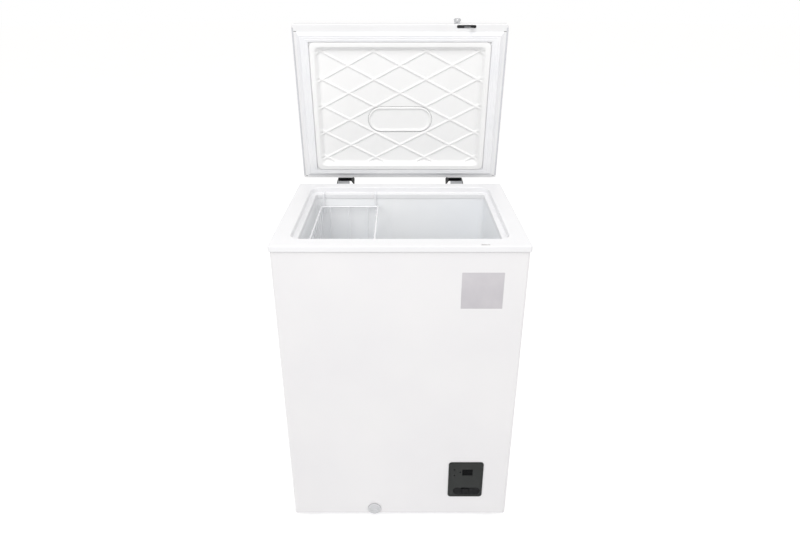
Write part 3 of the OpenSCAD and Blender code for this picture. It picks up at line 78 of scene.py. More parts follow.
# colour: the main colour. tone: a second one that drifts in over toneMm.
# grain: kind of surface grain, with its size and height in mm. gloss: roughness range over the same grain.
# metal, coat, shine and glow stand where a finish is metal, lacquered, duller than most or lets light in.
finishSettings = {
    # pre-painted sheet: even, faint orange peel, soft sheen
    "cabinet_paint": dict(name="prePaintedSteel", colour="#eeedee", tone="#eae9eb", toneMm=260,
                          grain="noise", grainMm=3.0, heightMm=0.02, gloss=(0.30, 0.38), coat=0.25),
    "lid_paint": dict(name="lidPrePaintedSteel", colour="#ebebec", tone="#e7e7e8", toneMm=240,
                      grain="noise", grainMm=3.0, heightMm=0.02, gloss=(0.30, 0.38), coat=0.25),
    # zinc coat: crystals of slightly different grey
    "galvanised": dict(name="galvanisedSheet", colour="#c6c8ca", tone="#bcbec1", toneMm=14,
                       grain="cells", grainMm=7, heightMm=0.004, gloss=(0.36, 0.48), metal=1.0),
    # plated steel: streaked by the rolling, with dull and bright patches
    "bracket_zinc": dict(name="zincPlatedPressing", colour="#c6c8ca", tone="#a4a6a6", toneMm=20,
                         grain="brushed", grainMm=1.2, heightMm=0.01, gloss=(0.28, 0.42), metal=1.0),
    # dip-coated steel: near black, only the edges catch light
    "arm_black": dict(name="blackElectrocoat", colour="#0c0c0e", tone="#121315", toneMm=25,
                      grain="noise", grainMm=1.2, heightMm=0.02, gloss=(0.34, 0.46), shine=0.1),
    # foamed in place: coarse cells and a patchy straw colour
    "foam": dict(name="urethaneFoam", colour="#e3d29a", tone="#d3bd7c", toneMm=30,
                 grain="cells", grainMm=2.2, heightMm=0.5, gloss=(0.85, 0.95)),
    # coated tub sheet: cool white with a soft sheen
    "tub_coat": dict(name="coatedTubSheet", colour="#fafbfc", tone="#f6f8fb", toneMm=300,
                     grain="noise", grainMm=2.4, heightMm=0.02, gloss=(0.34, 0.44), coat=0.15),
    # injection moulded: smooth white with a broad soft highlight
    "rim_plastic": dict(name="mouldedPolystyreneRim", colour="#efeff1", tone="#ebebed", toneMm=180,
                        grain="noise", grainMm=1.6, heightMm=0.012, gloss=(0.30, 0.40), coat=0.15),
    # drawn sheet: slightly wavy sheen that shows the ribs by their shading
    "liner_plastic": dict(name="vacuumFormedPolystyrene", colour="#f5f5f5", tone="#f1f1f1", toneMm=150,
                          grain="noise", grainMm=1.8, heightMm=0.012, gloss=(0.30, 0.42), coat=0.15),
    # soft vinyl: matte beside the painted lid
    "seal_rubber": dict(name="softVinylSeal", colour="#f1f1f3", tone="#ecedf0", toneMm=60,
                        grain="noise", grainMm=1.0, heightMm=0.006, gloss=(0.5, 0.62)),
    # moulded rubber: dull, greyed by handling
    "black_rubber": dict(name="mouldedRubber", colour="#1b1b1c", tone="#29292a", toneMm=20,
                         grain="noise", grainMm=0.9, heightMm=0.03, gloss=(0.6, 0.75)),
    # drawn tube: long streaks with browned patches
    "copper": dict(name="drawnCopperTube", colour="#c07a4c", tone="#8f4f30", toneMm=26,
                   grain="brushed", grainMm=1.5, heightMm=0.01, gloss=(0.25, 0.45), metal=1.0),
    # thick enamel on a deep-drawn can: gloss with orange peel
    "compressor_paint": dict(name="blackCompressorEnamel", colour="#141517", tone="#1d1e20", toneMm=50,
                             grain="noise", grainMm=2.5, heightMm=0.05, gloss=(0.22, 0.34), coat=0.4),
    # glass-filled box: dry and slightly mottled
    "starter_plastic": dict(name="glassFilledPolyester", colour="#2d2e30", tone="#252628", toneMm=20,
                            grain="noise", grainMm=0.8, heightMm=0.02, gloss=(0.5, 0.6)),
    # small bright heads with turning marks
    "screw_zinc": dict(name="zincPlatedScrew", colour="#c9cbcc", tone="#b5b6b2", toneMm=5,
                       grain="brushed", grainMm=0.6, heightMm=0.005, gloss=(0.2, 0.36), metal=1.0),
    # ground pin: the brightest metal at the hinge
    "pin_steel": dict(name="groundSteelPin", colour="#b4b6b9", tone="#9fa1a4", toneMm=8,
                      grain="brushed", grainMm=0.5, heightMm=0.004, gloss=(0.16, 0.3), metal=1.0),
    # oiled wire: dark with a wet-looking line along the coil
    "spring_steel": dict(name="oiledSpringSteel", colour="#77797c", tone="#54565a", toneMm=10,
                         grain="noise", grainMm=0.8, heightMm=0.01, gloss=(0.25, 0.42), metal=1.0),
    # unpigmented nylon: creamy, light passes a little way in
    "nylon": dict(name="naturalNylon", colour="#e4e2dc", tone="#dcd9d0", toneMm=12,
                  grain="noise", grainMm=0.7, heightMm=0.01, gloss=(0.4, 0.5), glow=0.15),
    # spark-eroded ABS: fine even texture that keeps it from shining
    "panel_grey": dict(name="sparkTexturedAbs", colour="#2b2d2c", tone="#272928", toneMm=30,
                       grain="noise", grainMm=0.9, heightMm=0.03, gloss=(0.42, 0.54), shine=0.2),
    # smoked window: reads as a black hole beside the panel
    "window_black": dict(name="smokedAcrylic", colour="#050607", tone="#08090a", toneMm=10,
                         grain="noise", grainMm=4, heightMm=0.004, gloss=(0.08, 0.14), shine=0.05),
    # unlit lamp lenses: dark dots with a pin of light
    "lamp_lens": dict(name="tintedLampLens", colour="#101213", tone="#0b0c0d", toneMm=2,
                      grain="noise", grainMm=1, heightMm=0.01, gloss=(0.12, 0.2), shine=0.06),
    # polished keys: darker and glossier than the panel
    "button_black": dict(name="glossyAbs", colour="#101113", tone="#0c0d0f", toneMm=8,
                         grain="noise", grainMm=2, heightMm=0.01, gloss=(0.16, 0.24), shine=0.12),
    # lacquered board behind the window
    "board_green": dict(name="solderMask", colour="#2f6b3c", tone="#245730", toneMm=6,
                        grain="noise", grainMm=1.2, heightMm=0.03, gloss=(0.3, 0.4)),
    # hidden housing: plain satin moulding
    "housing_plastic": dict(name="mouldedPolypropylene", colour="#2d2e30", tone="#343537", toneMm=25,
                            grain="noise", grainMm=1.0, heightMm=0.02, gloss=(0.45, 0.55)),
    # blown tube: milky, edges glow
    "drain_plastic": dict(name="milkyPolyethylene", colour="#e8e8ea", tone="#dfe0e2", toneMm=15,
                          grain="noise", grainMm=1.0, heightMm=0.01, gloss=(0.4, 0.5), glow=0.1),
    # soft plug: a shade greyer than the paint so that its round edge reads
    "cap_plastic": dict(name="lightGreyPolyethylene", colour="#d6d7d9", tone="#cfd0d3", toneMm=12,
                        grain="noise", grainMm=0.8, heightMm=0.01, gloss=(0.45, 0.55)),
    # acetal: black with a greasy sheen
    "lock_plastic": dict(name="blackAcetal", colour="#0b0c0d", tone="#101113", toneMm=9,
                         grain="noise", grainMm=0.8, heightMm=0.01, gloss=(0.34, 0.46), shine=0.4),
    # plated die casting: mirror-like, picks up the room
    "lock_chrome": dict(name="nickelPlatedDiecast", colour="#cfd0d2", tone="#b7b8ba", toneMm=6,
                        grain="noise", grainMm=0.6, heightMm=0.004, gloss=(0.1, 0.2), metal=1.0),
    # powder coat over welded wire: bright and slightly uneven
    "basket_wire": dict(name="whiteCoatedWire", colour="#f6f6f8", tone="#eeeff2", toneMm=12,
                        grain="noise", grainMm=1.2, heightMm=0.02, gloss=(0.25, 0.36), coat=0.3),
    # painted shadow: a dull grey line standing for the shade in the fine joints
    "painted_shadow_grey": dict(name="paintedShadowGrey", colour="#77787b", tone="#6d6e71", toneMm=30,
                         grain="noise", grainMm=1.0, heightMm=0.01, gloss=(0.5, 0.6)),
    # painted shade: light grey strips down the lid's sides, for the side edges that turn away from the light
    "edge_shade_grey": dict(name="paintedEdgeShade", colour="#cfd0d4", tone="#c8c9cd", toneMm=60,
                      grain="noise", grainMm=0.8, heightMm=0.008, gloss=(0.4, 0.5)),
    # bare film label: cool grey against the white paint
    "label_film": dict(name="silverLabelFilm", colour="#cbc8cc", tone="#c4c1c6", toneMm=40,
                       grain="noise", grainMm=0.8, heightMm=0.006, gloss=(0.34, 0.44)),
}

# what all finishes share: the stretch of brushed grain, the used part of each texture's range, coat and glow
sharedLook = {"streak": (0.12, 1, 1), "tonePart": (0.3, 0.7), "grainPart": (0.25, 0.75), "coatRough": 0.12,
              "glowMm": 2}


def makeFinish(s):  # two drifting tones under a fine grain, which also moves the gloss and the surface
    material = bpy.data.materials.new(s["name"])
    material.use_nodes = True
    tree = material.node_tree
    tree.nodes.clear()
    place = addNode(tree, "ShaderNodeTexCoord").outputs["Object"]
    if s["grain"] == "brushed":
        place = addNode(tree, "ShaderNodeMapping",
                        {"Vector": place, "Scale": sharedLook["streak"]}).outputs[0]
    toneScale, grainScale = 1000 / s["toneMm"], 1000 / s["grainMm"]  # repeats in a metre
    drift = addNode(tree, "ShaderNodeTexNoise", {"Vector": place, "Scale": toneScale, "Detail": 3.0})
    if s["grain"] == "cells":
        grain = addNode(tree, "ShaderNodeTexVoronoi", {"Vector": place, "Scale": grainScale}).outputs["Color"]
        grain = addNode(tree, "ShaderNodeRGBToBW", {0: grain}).outputs[0]
    else:
        grain = addNode(tree, "ShaderNodeTexNoise", {"Vector": place, "Scale": grainScale, "Detail": 2.0})
        grain = grain.outputs[0]
    source = grain if s["grain"] == "cells" and "metal" in s else drift.outputs[0]
    (toneLow, toneHigh), (grainLow, grainHigh) = sharedLook["tonePart"], sharedLook["grainPart"]
    ramp = addNode(tree, "ShaderNodeMapRange", {0: source, 1: toneLow, 2: toneHigh})
    colour = addNode(tree, "ShaderNodeMix", {0: ramp.outputs[0], 6: linearColour(s["colour"]),
                     7: linearColour(s["tone"])}, data_type="RGBA")
    rough = addNode(tree, "ShaderNodeMapRange", {0: grain, 1: grainLow, 2: grainHigh, 3: s["gloss"][0],
                    4: s["gloss"][1]})
    bump = addNode(tree, "ShaderNodeBump", {"Height": grain, "Strength": 1.0, "Distance": s["heightMm"] * mm})
    shader = addNode(tree, "ShaderNodeBsdfPrincipled",
                     {"Base Color": colour.outputs[2], "Roughness": rough.outputs[0],
                     "Normal": bump.outputs[0], "Metallic": s.get("metal", 0.0),
                     "Coat Weight": s.get("coat", 0.0),
                     "Specular IOR Level": s.get("shine", 0.5), "Coat Roughness": sharedLook["coatRough"],
                     "Subsurface Weight": s.get("glow", 0.0), "Subsurface Scale": sharedLook["glowMm"] * mm})
    addNode(tree, "ShaderNodeOutputMaterial", {0: shader.outputs[0]})
    return material


finishes = {slot: makeFinish(settings) for slot, settings in finishSettings.items()}
for nodeName, cadObject in cadNodes.items():
    cadObject.data.materials.clear()
    cadObject.data.materials.append(finishes[slotOf[nodeName]])
print("finishes made:", len(finishes))


def outline(x0, y0, x1, y1, r, steps=8):  # one turn round a rectangle with rounded corners
    r = max(r, 0.01)
    corners = ((x1 - r, y1 - r, 0), (x0 + r, y1 - r, 90), (x0 + r, y0 + r, 180), (x1 - r, y0 + r, 270))
    turns = [(cx, cy, math.radians(a + 90 * i / steps)) for cx, cy, a in corners for i in range(steps + 1)]
    return [(cx + r * math.cos(a), cy + r * math.sin(a)) for cx, cy, a in turns]


def loft(rings, closed=False, caps=False):  # rings of points in mm, joined in turn; y is from the front
    n = len(rings[0])
    points = [Vector((x, y + frontY, z)) * mm for ring in rings for x, y, z in ring]
    faces = []
    for a in range(len(rings) if closed else len(rings) - 1):
        b = (a + 1) % len(rings)
        faces += [(a * n + i, a * n + (i + 1) % n, b * n + (i + 1) % n, b * n + i) for i in range(n)]
    if caps:
        faces += [tuple(range(n)), tuple(range((len(rings) - 1) * n, len(rings) * n))]
    mesh = bpy.data.meshes.new("loft")
    mesh.from_pydata(points, [], faces)
    return mesh


def tidy(mesh, smoothDeg=38, place=None, turnOut=True):  # welds, puts in place, smooths up to an angle
    form = bmesh.new()
    form.from_mesh(mesh)
    bmesh.ops.remove_doubles(form, verts=form.verts, dist=0.02 * mm)
    if turnOut:
        bmesh.ops.recalc_face_normals(form, faces=form.faces)
    if place is not None:
        form.transform(place)
    form.to_mesh(mesh)
    form.free()
    mesh.shade_smooth()
    mesh.set_sharp_from_angle(angle=math.radians(smoothDeg))
    return mesh


def settle(piece):  # turns a piece and its modifiers into one plain mesh
    graph = bpy.context.evaluated_depsgraph_get()
    done = piece.evaluated_get(graph)
    mesh = bpy.data.meshes.new_from_object(done, preserve_all_data_layers=True, depsgraph=graph)
    piece.modifiers.clear()
    piece.data = mesh
    return piece


def addObject(name, mesh):
    piece = bpy.data.objects.new(name, mesh)
    bpy.context.scene.collection.objects.link(piece)
    return piece


def carve(piece, cutters):  # cuts closed meshes out of a piece
    tools = [addObject("cutter", tidy(mesh)) for mesh in cutters]
    for tool in tools:
        cut = piece.modifiers.new("cut", "BOOLEAN")
        cut.operation, cut.solver, cut.object = "DIFFERENCE", "EXACT", tool
    settle(piece)
    for tool in tools:
        bpy.data.objects.remove(tool)
    return piece


def dress(piece, body, slotName, *standsFor, evenOut=True):  # finish, body and the nodes it stands for
    if evenOut:  # broad flat faces keep their own normals beside narrow rounded ones
        even = piece.modifiers.new("even", "WEIGHTED_NORMAL")
        even.keep_sharp = True
        settle(piece)
    piece.data.materials.clear()
    piece.data.materials.append(finishes[slotName])
    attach(piece, body)
    if standsFor:
        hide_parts(*standsFor)
    return piece


def joinMeshes(name, meshes):  # several meshes as one, each still a solid of its own
    form = bmesh.new()
    for mesh in meshes:
        form.from_mesh(mesh)
    joined = bpy.data.meshes.new(name)
    form.to_mesh(joined)
    form.free()
    return joined


def block(x0, y0, z0, x1, y1, z1, r=0):  # an upright bar with rounded plan corners
    ring = outline(x0, y0, x1, y1, r, 6 if r else 1)
    return loft([[(x, y, z) for x, y in ring] for z in (z0, z1)], caps=True)


def newTree(name, inputs):  # an empty geometry tree with named inputs
    tree = bpy.data.node_groups.new(name, "GeometryNodeTree")
    tree.interface.new_socket("Geometry", in_out="INPUT", socket_type="NodeSocketGeometry")
    tree.interface.new_socket("Geometry", in_out="OUTPUT", socket_type="NodeSocketGeometry")
    for label, kind in inputs.items():
        tree.interface.new_socket(label, in_out="INPUT", socket_type="NodeSocket" + kind)
    return tree, tree.nodes.new("NodeGroupInput").outputs


def runTree(tree, mesh, values):  # the mesh that a geometry tree makes with these inputs
    holder = addObject(tree.name, mesh)
    modifier = holder.modifiers.new("shape", "NODES")
    modifier.node_group = tree
    for item in tree.interface.items_tree:
        if item.in_out == "INPUT" and item.name in values:
            modifier[item.identifier] = values[item.name]
    result = settle(holder).data
    bpy.data.objects.remove(holder)
    return result


# lid liner: a formed sheet whose height follows one rule over the plan
liner = {"halfX": 242, "y0": 41.3, "y1": 401.2, "margin": 5, "cornerBlend": 24, "seatZ": 814, "beadHigh": 6.8,
         "beadWall": 1.4, "slopeFrom": 9.5, "slopeTo": 24.5, "deep": 14, "pitchX": 71, "pitchY": 37.7,
         "ribHalf": 3.7, "ribCrest": 1.7, "ribHigh": 2.8, "ribBlend": 0.04, "ribFade": (14.5, 18.5),
         "ribToOval": (3, 5), "ovalY": 254.25, "ovalHalf": 89, "ovalR": 35, "ovalRing": 5, "ringCrest": 1,
         "ovalDip": 1.2, "dipPlace": (-8.5, -4.5), "groove": 0.8, "beadFoot": 0.1, "groovePlace": 1.4,
         "grooveSides": (0.2, 2.4), "shadowLineWire": 0.45, "shadowLineSink": 0.1, "cells": 36}


def linerTree(sizes):
    tree, given = newTree("formedLiner", {label: "Float" for label in sizes} | {
        "Crossing blend": "Float", "Columns": "Int", "Rows": "Int", "Finish": "Material"})
    grid = addNode(tree, "GeometryNodeMeshGrid", {"Size X": given["Size X"], "Size Y": given["Size Y"],
                   "Vertices X": given["Columns"], "Vertices Y": given["Rows"]})
    shift = addNode(tree, "ShaderNodeCombineXYZ", {"Y": given["Shift Y"]})
    sheet = addNode(tree, "GeometryNodeTransform", {0: grid.outputs[0], "Translation": shift.outputs[0]})
    at = addNode(tree, "ShaderNodeSeparateXYZ",
                 {0: tree.nodes.new("GeometryNodeInputPosition").outputs[0]}).outputs
    absX = addNode(tree, "ShaderNodeMath", {0: at["X"]}, operation="ABSOLUTE").outputs[0]
    absY = addNode(tree, "ShaderNodeMath", {0: at["Y"]}, operation="ABSOLUTE").outputs[0]
    inX = addNode(tree, "ShaderNodeMath", {0: given["Half X"], 1: absX}, operation="SUBTRACT").outputs[0]
    inY = addNode(tree, "ShaderNodeMath", {0: given["Half Y"], 1: absY}, operation="SUBTRACT").outputs[0]
    inside = addNode(tree, "ShaderNodeMath", {0: inX, 1: inY, 2: given["Corner blend"]},
                     operation="SMOOTH_MIN").outputs[0]
    bead = addNode(tree, "ShaderNodeMapRange",
                   {0: inside, 1: given["Bead start"], 2: given["Bead end"], 3: 0.0, 4: given["Bead height"]},
                   interpolation_type="SMOOTHSTEP").outputs[0]
    bowl = addNode(tree, "ShaderNodeMapRange",
                   {0: inside, 1: given["Slope from"], 2: given["Slope to"], 3: 0.0, 4: given["Depth"]},
                   interpolation_type="SMOOTHERSTEP").outputs[0]
    fromOval = addNode(tree, "ShaderNodeMath", {0: at["Y"], 1: given["Oval Y"]},
                       operation="SUBTRACT").outputs[0]
    alongX = addNode(tree, "ShaderNodeMath", {0: at["X"], 1: given["Pitch X"]}, operation="DIVIDE").outputs[0]
    alongY = addNode(tree, "ShaderNodeMath", {0: fromOval, 1: given["Pitch Y"]},
                     operation="DIVIDE").outputs[0]
    up = addNode(tree, "ShaderNodeMath", {0: alongY, 1: alongX}, operation="ADD").outputs[0]
    down = addNode(tree, "ShaderNodeMath", {0: alongY, 1: alongX}, operation="SUBTRACT").outputs[0]
    up = addNode(tree, "ShaderNodeMath", {0: up, 1: 1.0}, operation="PINGPONG").outputs[0]
    down = addNode(tree, "ShaderNodeMath", {0: down, 1: 1.0}, operation="PINGPONG").outputs[0]
    near = addNode(tree, "ShaderNodeMath", {0: up, 1: down, 2: given["Crossing blend"]},
                   operation="SMOOTH_MIN").outputs[0]
    near = addNode(tree, "ShaderNodeMath", {0: near, 1: given["Rib scale"]}, operation="MULTIPLY").outputs[0]
    rib = addNode(tree, "ShaderNodeMapRange",
                  {0: near, 1: given["Rib crest"], 2: given["Rib half"], 3: given["Rib height"], 4: 0.0},
                  interpolation_type="SMOOTHSTEP").outputs[0]
    # the ribs run up the wall and die out before the bead, and stop short of the oval
    onWall = addNode(tree, "ShaderNodeMapRange", {0: inside, 1: given["Fade from"], 2: given["Fade to"]},
                     interpolation_type="SMOOTHSTEP").outputs[0]
    overX = addNode(tree, "ShaderNodeMath", {0: absX, 1: given["Oval straight"]},
                    operation="SUBTRACT").outputs[0]
    overX = addNode(tree, "ShaderNodeMath", {0: overX, 1: 0.0}, operation="MAXIMUM").outputs[0]
    reach = addNode(tree, "ShaderNodeCombineXYZ", {"X": overX, "Y": fromOval}).outputs[0]
    reach = addNode(tree, "ShaderNodeVectorMath", {0: reach}, operation="LENGTH").outputs["Value"]
    ovalGap = addNode(tree, "ShaderNodeMath", {0: reach, 1: given["Oval R"]}, operation="SUBTRACT").outputs[0]
    clear = addNode(tree, "ShaderNodeMapRange", {0: ovalGap, 1: given["Clear from"], 2: given["Clear to"]},
                    interpolation_type="SMOOTHSTEP").outputs[0]
    rib = addNode(tree, "ShaderNodeMath", {0: rib, 1: onWall}, operation="MULTIPLY").outputs[0]
    rib = addNode(tree, "ShaderNodeMath", {0: rib, 1: clear}, operation="MULTIPLY").outputs[0]
    ringGap = addNode(tree, "ShaderNodeMath", {0: ovalGap, 1: given["Ring half"]}, operation="ADD").outputs[0]
    ringGap = addNode(tree, "ShaderNodeMath", {0: ringGap}, operation="ABSOLUTE").outputs[0]
    ring = addNode(tree, "ShaderNodeMapRange",
                   {0: ringGap, 1: given["Ring crest"], 2: given["Ring half"],
                    3: given["Rib height"], 4: 0.0}, interpolation_type="SMOOTHSTEP").outputs[0]
    dip = addNode(tree, "ShaderNodeMapRange",
                  {0: ovalGap, 1: given["Dip from"], 2: given["Dip to"], 3: given["Oval dip"], 4: 0.0},
                  interpolation_type="SMOOTHSTEP").outputs[0]
    low = addNode(tree, "ShaderNodeMath", {0: bowl, 1: bead}, operation="SUBTRACT").outputs[0]
    low = addNode(tree, "ShaderNodeMath", {0: low, 1: rib}, operation="SUBTRACT").outputs[0]
    low = addNode(tree, "ShaderNodeMath", {0: low, 1: ring}, operation="SUBTRACT").outputs[0]
    low = addNode(tree, "ShaderNodeMath", {0: low, 1: dip}, operation="ADD").outputs[0]
    fromGroove = addNode(tree, "ShaderNodeMath", {0: ovalGap, 1: given["Groove place"]},
                         operation="SUBTRACT").outputs[0]
    fromGroove = addNode(tree, "ShaderNodeMath", {0: fromGroove}, operation="ABSOLUTE").outputs[0]
    groove = addNode(tree, "ShaderNodeMapRange",
                     {0: fromGroove, 1: given["Groove flat"], 2: given["Groove half"],
                      3: given["Groove"], 4: 0.0}, interpolation_type="SMOOTHSTEP").outputs[0]
    low = addNode(tree, "ShaderNodeMath", {0: low, 1: groove}, operation="ADD").outputs[0]
    lift = addNode(tree, "ShaderNodeCombineXYZ", {"Z": low}).outputs[0]
    formed = addNode(tree, "GeometryNodeSetPosition", {0: sheet.outputs[0], "Offset": lift}).outputs[0]
    formed = addNode(tree, "GeometryNodeFlipFaces", {0: formed}).outputs[0]
    formed = addNode(tree, "GeometryNodeRealizeInstances", {0: formed}).outputs[0]
    formed = addNode(tree, "GeometryNodeSetMaterial", {0: formed, "Material": given["Finish"]}).outputs[0]
    addNode(tree, "NodeGroupOutput", {0: formed})
    return tree


def makeLiner(s):
    halfY = (s["y1"] - s["y0"]) / 2
    midY = (s["y1"] + s["y0"]) / 2
    stepX, stepY = s["pitchX"] / s["cells"], s["pitchY"] / s["cells"]  # grid lines fall on the rib crossings
    across = math.ceil((s["halfX"] + s["margin"]) / stepX)
    ahead = math.ceil((s["ovalY"] - s["y0"] + s["margin"]) / stepY)
    behind = math.ceil((s["y1"] + s["margin"] - s["ovalY"]) / stepY)
    ovalY = s["ovalY"] - midY
    ribScale = s["pitchX"] * s["pitchY"] / math.hypot(s["pitchX"], s["pitchY"])
    sizes = {"Half X": s["halfX"], "Half Y": halfY, "Corner blend": s["cornerBlend"],
             "Bead height": s["beadHigh"], "Bead start": -s["beadWall"], "Bead end": s["beadFoot"],
             "Slope from": s["slopeFrom"], "Slope to": s["slopeTo"], "Depth": s["deep"],
             "Pitch X": s["pitchX"], "Pitch Y": s["pitchY"], "Rib scale": ribScale, "Rib half": s["ribHalf"],
             "Rib crest": s["ribCrest"], "Rib height": s["ribHigh"], "Fade from": s["ribFade"][0],
             "Fade to": s["ribFade"][1], "Clear from": s["ribToOval"][0], "Clear to": s["ribToOval"][1],
             "Oval Y": ovalY, "Oval straight": s["ovalHalf"] - s["ovalR"], "Oval R": s["ovalR"],
             "Ring half": s["ovalRing"] / 2, "Ring crest": s["ringCrest"], "Oval dip": s["ovalDip"],
             "Dip from": s["dipPlace"][0], "Dip to": s["dipPlace"][1], "Groove": s["groove"],
             "Groove place": s["groovePlace"], "Groove flat": s["grooveSides"][0],
             "Groove half": s["grooveSides"][1], "Size X": 2 * across * stepX,
             "Size Y": (ahead + behind) * stepY, "Shift Y": ovalY + (behind - ahead) / 2 * stepY}
    values = {label: size * mm for label, size in sizes.items()}
    values |= {"Crossing blend": s["ribBlend"], "Columns": 2 * across + 1, "Rows": ahead + behind + 1,
               "Finish": finishes["liner_plastic"]}
    mesh = runTree(linerTree(sizes), bpy.data.meshes.new("empty"), values)
    place = lidTurn @ Matrix.Translation(Vector((0, midY + frontY, s["seatZ"])) * mm)
    tidy(mesh, 60, place, turnOut=False)
    dress(addObject("lidLinerSheet", mesh), "lid", "liner_plastic", "lid_liner", evenOut=False)


makeLiner(liner)
print("lid liner formed")


# lid gasket: vinyl strip section run round the lid and mitred; each side has its own width
gasket = {"x": 274.6, "y0": 15.5, "y1": 422.6, "wide": 31.0, "wideFront": 24.3, "wideBack": 19.9,
          "seatZ": 814, "fixed": 10.5, "outerR": 2.5, "innerR": 0.6,
          # (mm from the outer edge, height), then (share of the rest, height)
          "lip": [(0, -0.6), (0, 0.4), (1.2, 1.0), (7.6, 5.4), (8.5, 6.9), (9.3, 7.5), (10.1, 7.5),
                  (10.5, 7.1)],
          "face": [(0.04, 6.5), (0.12, 6.5), (0.15, 7.2), (0.30, 7.3), (0.44, 7.2), (0.47, 6.6), (0.52, 6.6),
                   (0.55, 7.2), (0.68, 7.3), (0.80, 7.2), (0.83, 6.6), (0.87, 6.6), (0.9, 7.2), (0.97, 7.0),
                   (1.0, 6.0), (1.0, -0.6)]}


def makeGasket(s):
    rings = []
    steps = [(t, t, t, h) for t, h in s["lip"]]
    spans = [s[width] - s["fixed"] for width in ("wide", "wideFront", "wideBack")]
    steps += [tuple(s["fixed"] + share * span for span in spans) + (h,) for share, h in s["face"]]
    for side, front, back, h in steps:
        r = max(s["outerR"] - side / 4, s["innerR"])
        ring = outline(-s["x"] + side, s["y0"] + front, s["x"] - side, s["y1"] - back, r, 4)
        rings.append([(x, y, s["seatZ"] - h) for x, y in ring])
    mesh = tidy(loft(rings, closed=True), 50, lidTurn)
    dress(addObject("lidGasket", mesh), "lid", "seal_rubber", "lid_seal")


makeGasket(gasket)
print("gasket made")


# lid skin: pressed pan with a turned-in flange; fold and top edge have their real radii
skin = {"x": 285.7, "y0": -3.2, "y1": 430.2, "r": 6, "z0": 814, "z1": 852, "fold": 2.4, "sheet": 0.8,
        "flange": (274.7, 15.4, 422.7), "flangeR": 3, "slot": (149.0, -1.4, 200.0, 6.4), "slotR": 3.8,
        "barrel": (150.5, 827, 6.9), "slitLong": 5.5, "slitWide": 1.3, "slitBack": 1.5, "slitGap": 0.2,
        "slitR": 0.5, "backing": (0.62, 0.78), "backingR": 0.3,
        # how far each cutter reaches past the sheet, behind and in front
        "slotCut": (-3, 2), "barrelCut": (-2, 3), "slitCut": (-1, 2)}


def makeSkin(s):
    def body(i, z):
        return [(x, y, z) for x, y in outline(-s["x"] + i, s["y0"] + i, s["x"] - i, s["y1"] - i, s["r"] - i)]
    def opening(z):
        fx, f0, f1 = s["flange"]
        return [(x, y, z) for x, y in outline(-fx, f0, fx, f1, s["flangeR"])]
    t, r, fold = s["sheet"], s["r"], s["fold"]
    quarter = [math.radians(90 * i / 5) for i in range(6)]
    rings = [body(r - (r - t) * math.sin(a), s["z1"] - r + (r - t) * math.cos(a)) for a in quarter]
    rings += [body(t, s["z0"] + t + 0.3), body(fold, s["z0"] + t), opening(s["z0"] + t), opening(s["z0"])]
    rings += [body(fold * (1 - math.sin(a)), s["z0"] + fold * (1 - math.cos(a))) for a in quarter]
    rings += [body(r * (1 - math.cos(a)), s["z1"] - r + r * math.sin(a)) for a in quarter]
    piece = addObject("lidSkinPan", tidy(loft(rings, caps=True)))
    x0, y0, x1, y1 = s["slot"]
    low, high = (s["z0"] + past for past in s["slotCut"])
    cutters = [block(x0, y0, low, x1, y1, high, s["slotR"])]
    bx, bz, br = s["barrel"]
    ring = [(bx + br * math.cos(a), bz + br * math.sin(a)) for a in [math.tau * i / 32 for i in range(32)]]
    cutters.append(loft([[(x, s["y0"] + past, z) for x, z in ring] for past in s["barrelCut"]], caps=True))
    fx, f0, f1 = s["flange"]
    slitShades = []
    for side in (-1, 1):
        for edge, way in ((f0, -1), (f1, 1)):
            xs = sorted((side * (fx - s["slitBack"]), side * (fx + s["slitLong"])))
            ys = sorted((edge + way * s["slitGap"], edge + way * (s["slitGap"] + s["slitWide"])))
            low, high = (s["z0"] + past for past in s["slitCut"])
            cutters.append(block(xs[0], ys[0], low, xs[1], ys[1], high, s["slitR"]))
            # painted shadow: a black piece under each slit stands for the shade inside the narrow cut
            low, high = (s["z0"] + up for up in s["backing"])
            lap = s["slitR"]  # the black painted shadow reaches a little past each slit
            slitShades.append(block(xs[0] - lap, ys[0] - lap, low, xs[1] + lap, ys[1] + lap, high, s["backingR"]))
    carve(piece, cutters)
    tidy(piece.data, 38, lidTurn)
    dress(piece, "lid", "lid_paint", "lid_skin")
    backing = tidy(joinMeshes("slitShadeMesh", slitShades), 38, lidTurn)
    dress(addObject("flangeSlitPaintedShade", backing), "lid", "lock_plastic")


# light plates that lap the flange over each hinge arm
flangePlate = {"x": 163, "wide": 43, "y0": 422.9, "y1": 429.9, "z0": 812.9, "z1": 814.1, "r": 0.6}


def makeFlangePlates(s):
    plates = []
    for side in (-1, 1):
        x0, x1 = (side * s["x"] + way * s["wide"] / 2 for way in (-1, 1))
        plates.append(block(x0, s["y0"], s["z0"], x1, s["y1"], s["z1"], s["r"]))
    mesh = tidy(joinMeshes("flangePlates", plates), 38, lidTurn)
    piece = addObject("hingeFlangePlates", mesh)
    piece.data.materials.append(finishes["rim_plastic"])
    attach(piece, "lid")


# grey strips along the lid's two side edges: painted shade of the edges that turn from the light
edgeShadeStrip = {"fromEdge": 0.7, "wide": 4.6, "y0": 5, "y1": 422, "z0": 813.7, "z1": 814.1, "r": 0.6}


def makeEdgeShadeStrips(s):
    shadeStrips = []
    for side in (-1, 1):
        xs = sorted(side * (skin["x"] - s["fromEdge"] - w) for w in (0, s["wide"]))
        shadeStrips.append(block(xs[0], s["y0"], s["z0"], xs[1], s["y1"], s["z1"], s["r"]))
    piece = addObject("lidEdgeShadeStrips", tidy(joinMeshes("edgeShadeStrips", shadeStrips), 38, lidTurn))
    piece.data.materials.append(finishes["edge_shade_grey"])
    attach(piece, "lid")


makeSkin(skin)
makeFlangePlates(flangePlate)
makeEdgeShadeStrips(edgeShadeStrip)
print("lid skin made")


